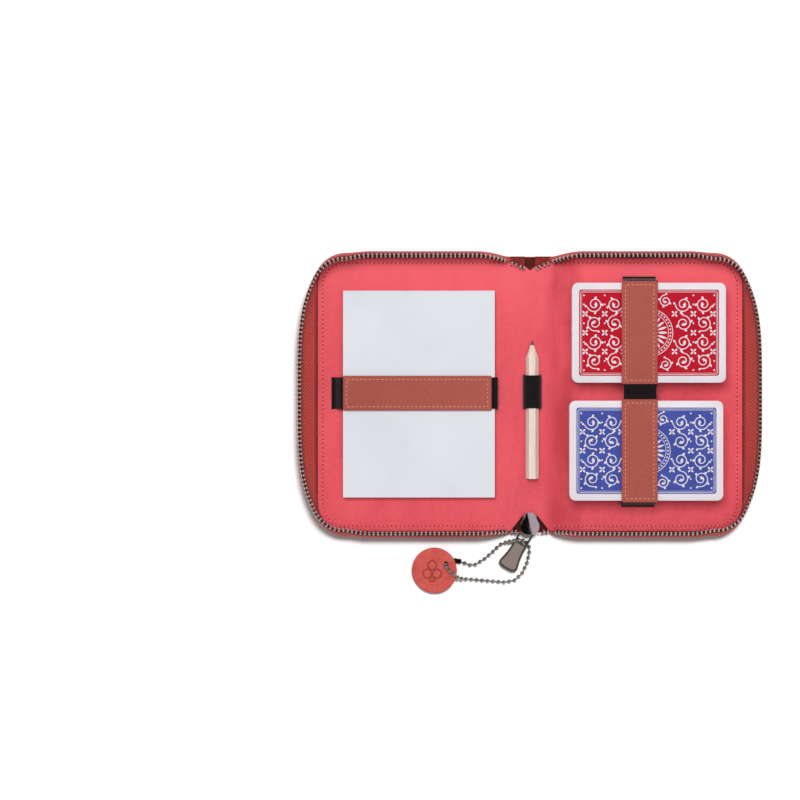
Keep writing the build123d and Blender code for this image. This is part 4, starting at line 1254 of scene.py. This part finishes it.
def build_tag():
    count = 120
    angles = around(count)
    wobble = 1 - 0.006 * (1 + np.sin(angles * 3 + 1)) / 2 - 0.004 * (1 + np.sin(angles * 7)) / 2
    edge = circle((0, 0), 13.35, count) * wobble[:, None]
    hole = circle(TAG_HOLE, 1.65, count)
    rings, shades = [], []

    def ring_at(share):
        """A ring between the hole and the edge."""
        return hole * (1 - share) + edge * share

    # from the hole's rim over the face to the edge, then back below
    for share in (0.0, 0.03, *np.linspace(0.07, 0.93, 44), 0.96, 0.985):
        ring = ring_at(share)
        z = 1.1 - 0.45 * (max(0, share - 0.93) / 0.07) ** 2
        z -= 0.25 if share == 0 else 0.05 if share < 0.05 else 0
        groove = clover_groove(ring) if 0.04 < share < 0.95 else np.full(count, 9.0)
        sunk = np.exp(-((groove / 0.58) ** 2))
        rings.append(np.column_stack([ring, z - 0.42 * sunk]))
        shades += [(g, 0) for g in sunk]
    for share, z in ((1.0, 0.35), (1.0, -0.35), (0.985, -0.65), (0.95, -1.02), (0.9, -1.1), (0.5, -1.1),
                     (0.03, -1.1), (0.0, -0.85)):
        rings.append(at_height(ring_at(share), z))
    rings.append(rings[0])
    points, faces = loft(rings, caps=False)
    shades += [(0, 0)] * (len(points) - len(shades))
    shape = moved((points, [f[::-1] for f in faces]), TAG_CENTRE, TAG_X, (0, 1, 0), TAG_Z)
    piece("round_tag", shape, TAG_LEATHER, "tag", "leather_tag", shades, 60)


build_skins()
build_stitches()
build_zip()
build_cards()
build_straps()
build_notepad()
build_pencil()
build_slider()
build_puller()
build_chain()
build_tag()


# Stage, light and camera

def camera_rays(tree):
    """1 for rays from the camera, and for those that metal and glass send on."""
    path = tree.nodes.new("ShaderNodeLightPath")
    value = path.outputs["Is Camera Ray"]
    for name in ("Is Glossy Ray", "Is Transmission Ray"):
        larger = tree.nodes.new("ShaderNodeMath")
        larger.operation = "MAXIMUM"
        tree.links.new(value, larger.inputs[0])
        tree.links.new(path.outputs[name], larger.inputs[1])
        value = larger.outputs[0]
    return value


def floor_look():
    """Pale floor that is white to the camera where no shadow falls. Far from the
    case it gives light of its own."""
    look = Look("floor", 0.9, Specular_IOR_Level=0.0)
    look.colour(look.mix(look.noise(look.object, 3.0), (254, 254, 254), (252, 252, 252)))
    look.shader.inputs["Emission Color"].default_value = (1, 1, 1, 1)
    away = look.node("ShaderNodeVectorMath", {0: look.object}, operation="LENGTH").outputs["Value"]
    seen = look.math("MULTIPLY", camera_rays(look.tree), look.ramp(away, 0.14, 1.0))
    look.tree.links.new(seen, look.shader.inputs["Emission Strength"])
    return look.material


def stage_sheet(name, width, depth, material):
    """A flat rectangle that belongs to the stage."""
    x, y = width / 2, depth / 2
    mesh = bpy.data.meshes.new(name)
    mesh.from_pydata([(-x, -y, 0), (x, -y, 0), (x, y, 0), (-x, y, 0)], [], [(0, 1, 2, 3)])
    mesh.materials.append(material)
    obj = bpy.data.objects.new(name, mesh)
    scene.collection.objects.link(obj)
    return obj


def lamp(name, place, size, power, floor_state):
    """A round lamp that looks at the middle of the case, and lights the floor or leaves it out."""
    data = bpy.data.lights.new(name, "AREA")
    data.shape, data.size, data.energy = "DISK", size, power
    obj = bpy.data.objects.new(name, data)
    scene.collection.objects.link(obj)
    obj.location = place
    obj.rotation_euler = (-Vector(place)).to_track_quat("-Z", "Y").to_euler()
    receivers = bpy.data.collections.new(f"{name}_receivers")
    receivers.objects.link(floor)
    receivers.collection_objects[0].light_linking.link_state = floor_state
    obj.light_linking.receiver_collection = receivers
    return obj


floor = stage_sheet("floor", 6, 6, floor_look())

world = bpy.data.worlds.new("studio")
scene.world = world
world.use_nodes = True
tree = world.node_tree
background = tree.nodes["Background"]
background.inputs["Color"].default_value = (1, 1, 1, 1)
strength = tree.nodes.new("ShaderNodeMapRange")
strength.inputs["To Min"].default_value = 0.28
strength.inputs["To Max"].default_value = 1.0
tree.links.new(camera_rays(tree), strength.inputs["Value"])
tree.links.new(strength.outputs["Result"], background.inputs["Strength"])

# The floor has a lamp of its own, which throws the shadow to the near left.
for light in (lamp("key", (-0.12, 0.34, 1.25), 0.6, 11.1, "EXCLUDE"),
              lamp("fill", (0.4, -0.1, 1.3), 0.7, 3.4, "EXCLUDE")):
    light.visible_glossy = False
lamp("floor_key", (0.17, 0.36, 1.22), 0.3, 15.6, "INCLUDE")

# A dark card beside the set gives polished metal its dark reflection.
flag = stage_sheet("flag_left", 0.8, 1.3, BLACK_CLOTH)
flag.location = (-0.41, -0.12, 0.7)
flag.rotation_euler = (0, 0, math.radians(8))
for kind in ("camera", "diffuse", "shadow", "transmission", "volume_scatter"):
    setattr(flag, f"visible_{kind}", False)

scene.view_settings.view_transform = "Standard"

camera_data = bpy.data.cameras.new("camera")
camera_data.sensor_width = 36
camera_data.lens = 68.9
camera_data.shift_x = -0.1625
camera_data.shift_y = -0.0069
camera_data.clip_start = 0.05
camera_data.clip_end = 20
camera = bpy.data.objects.new("camera", camera_data)
scene.collection.objects.link(camera)
camera.location = (0, 0, 0.896)
scene.camera = camera
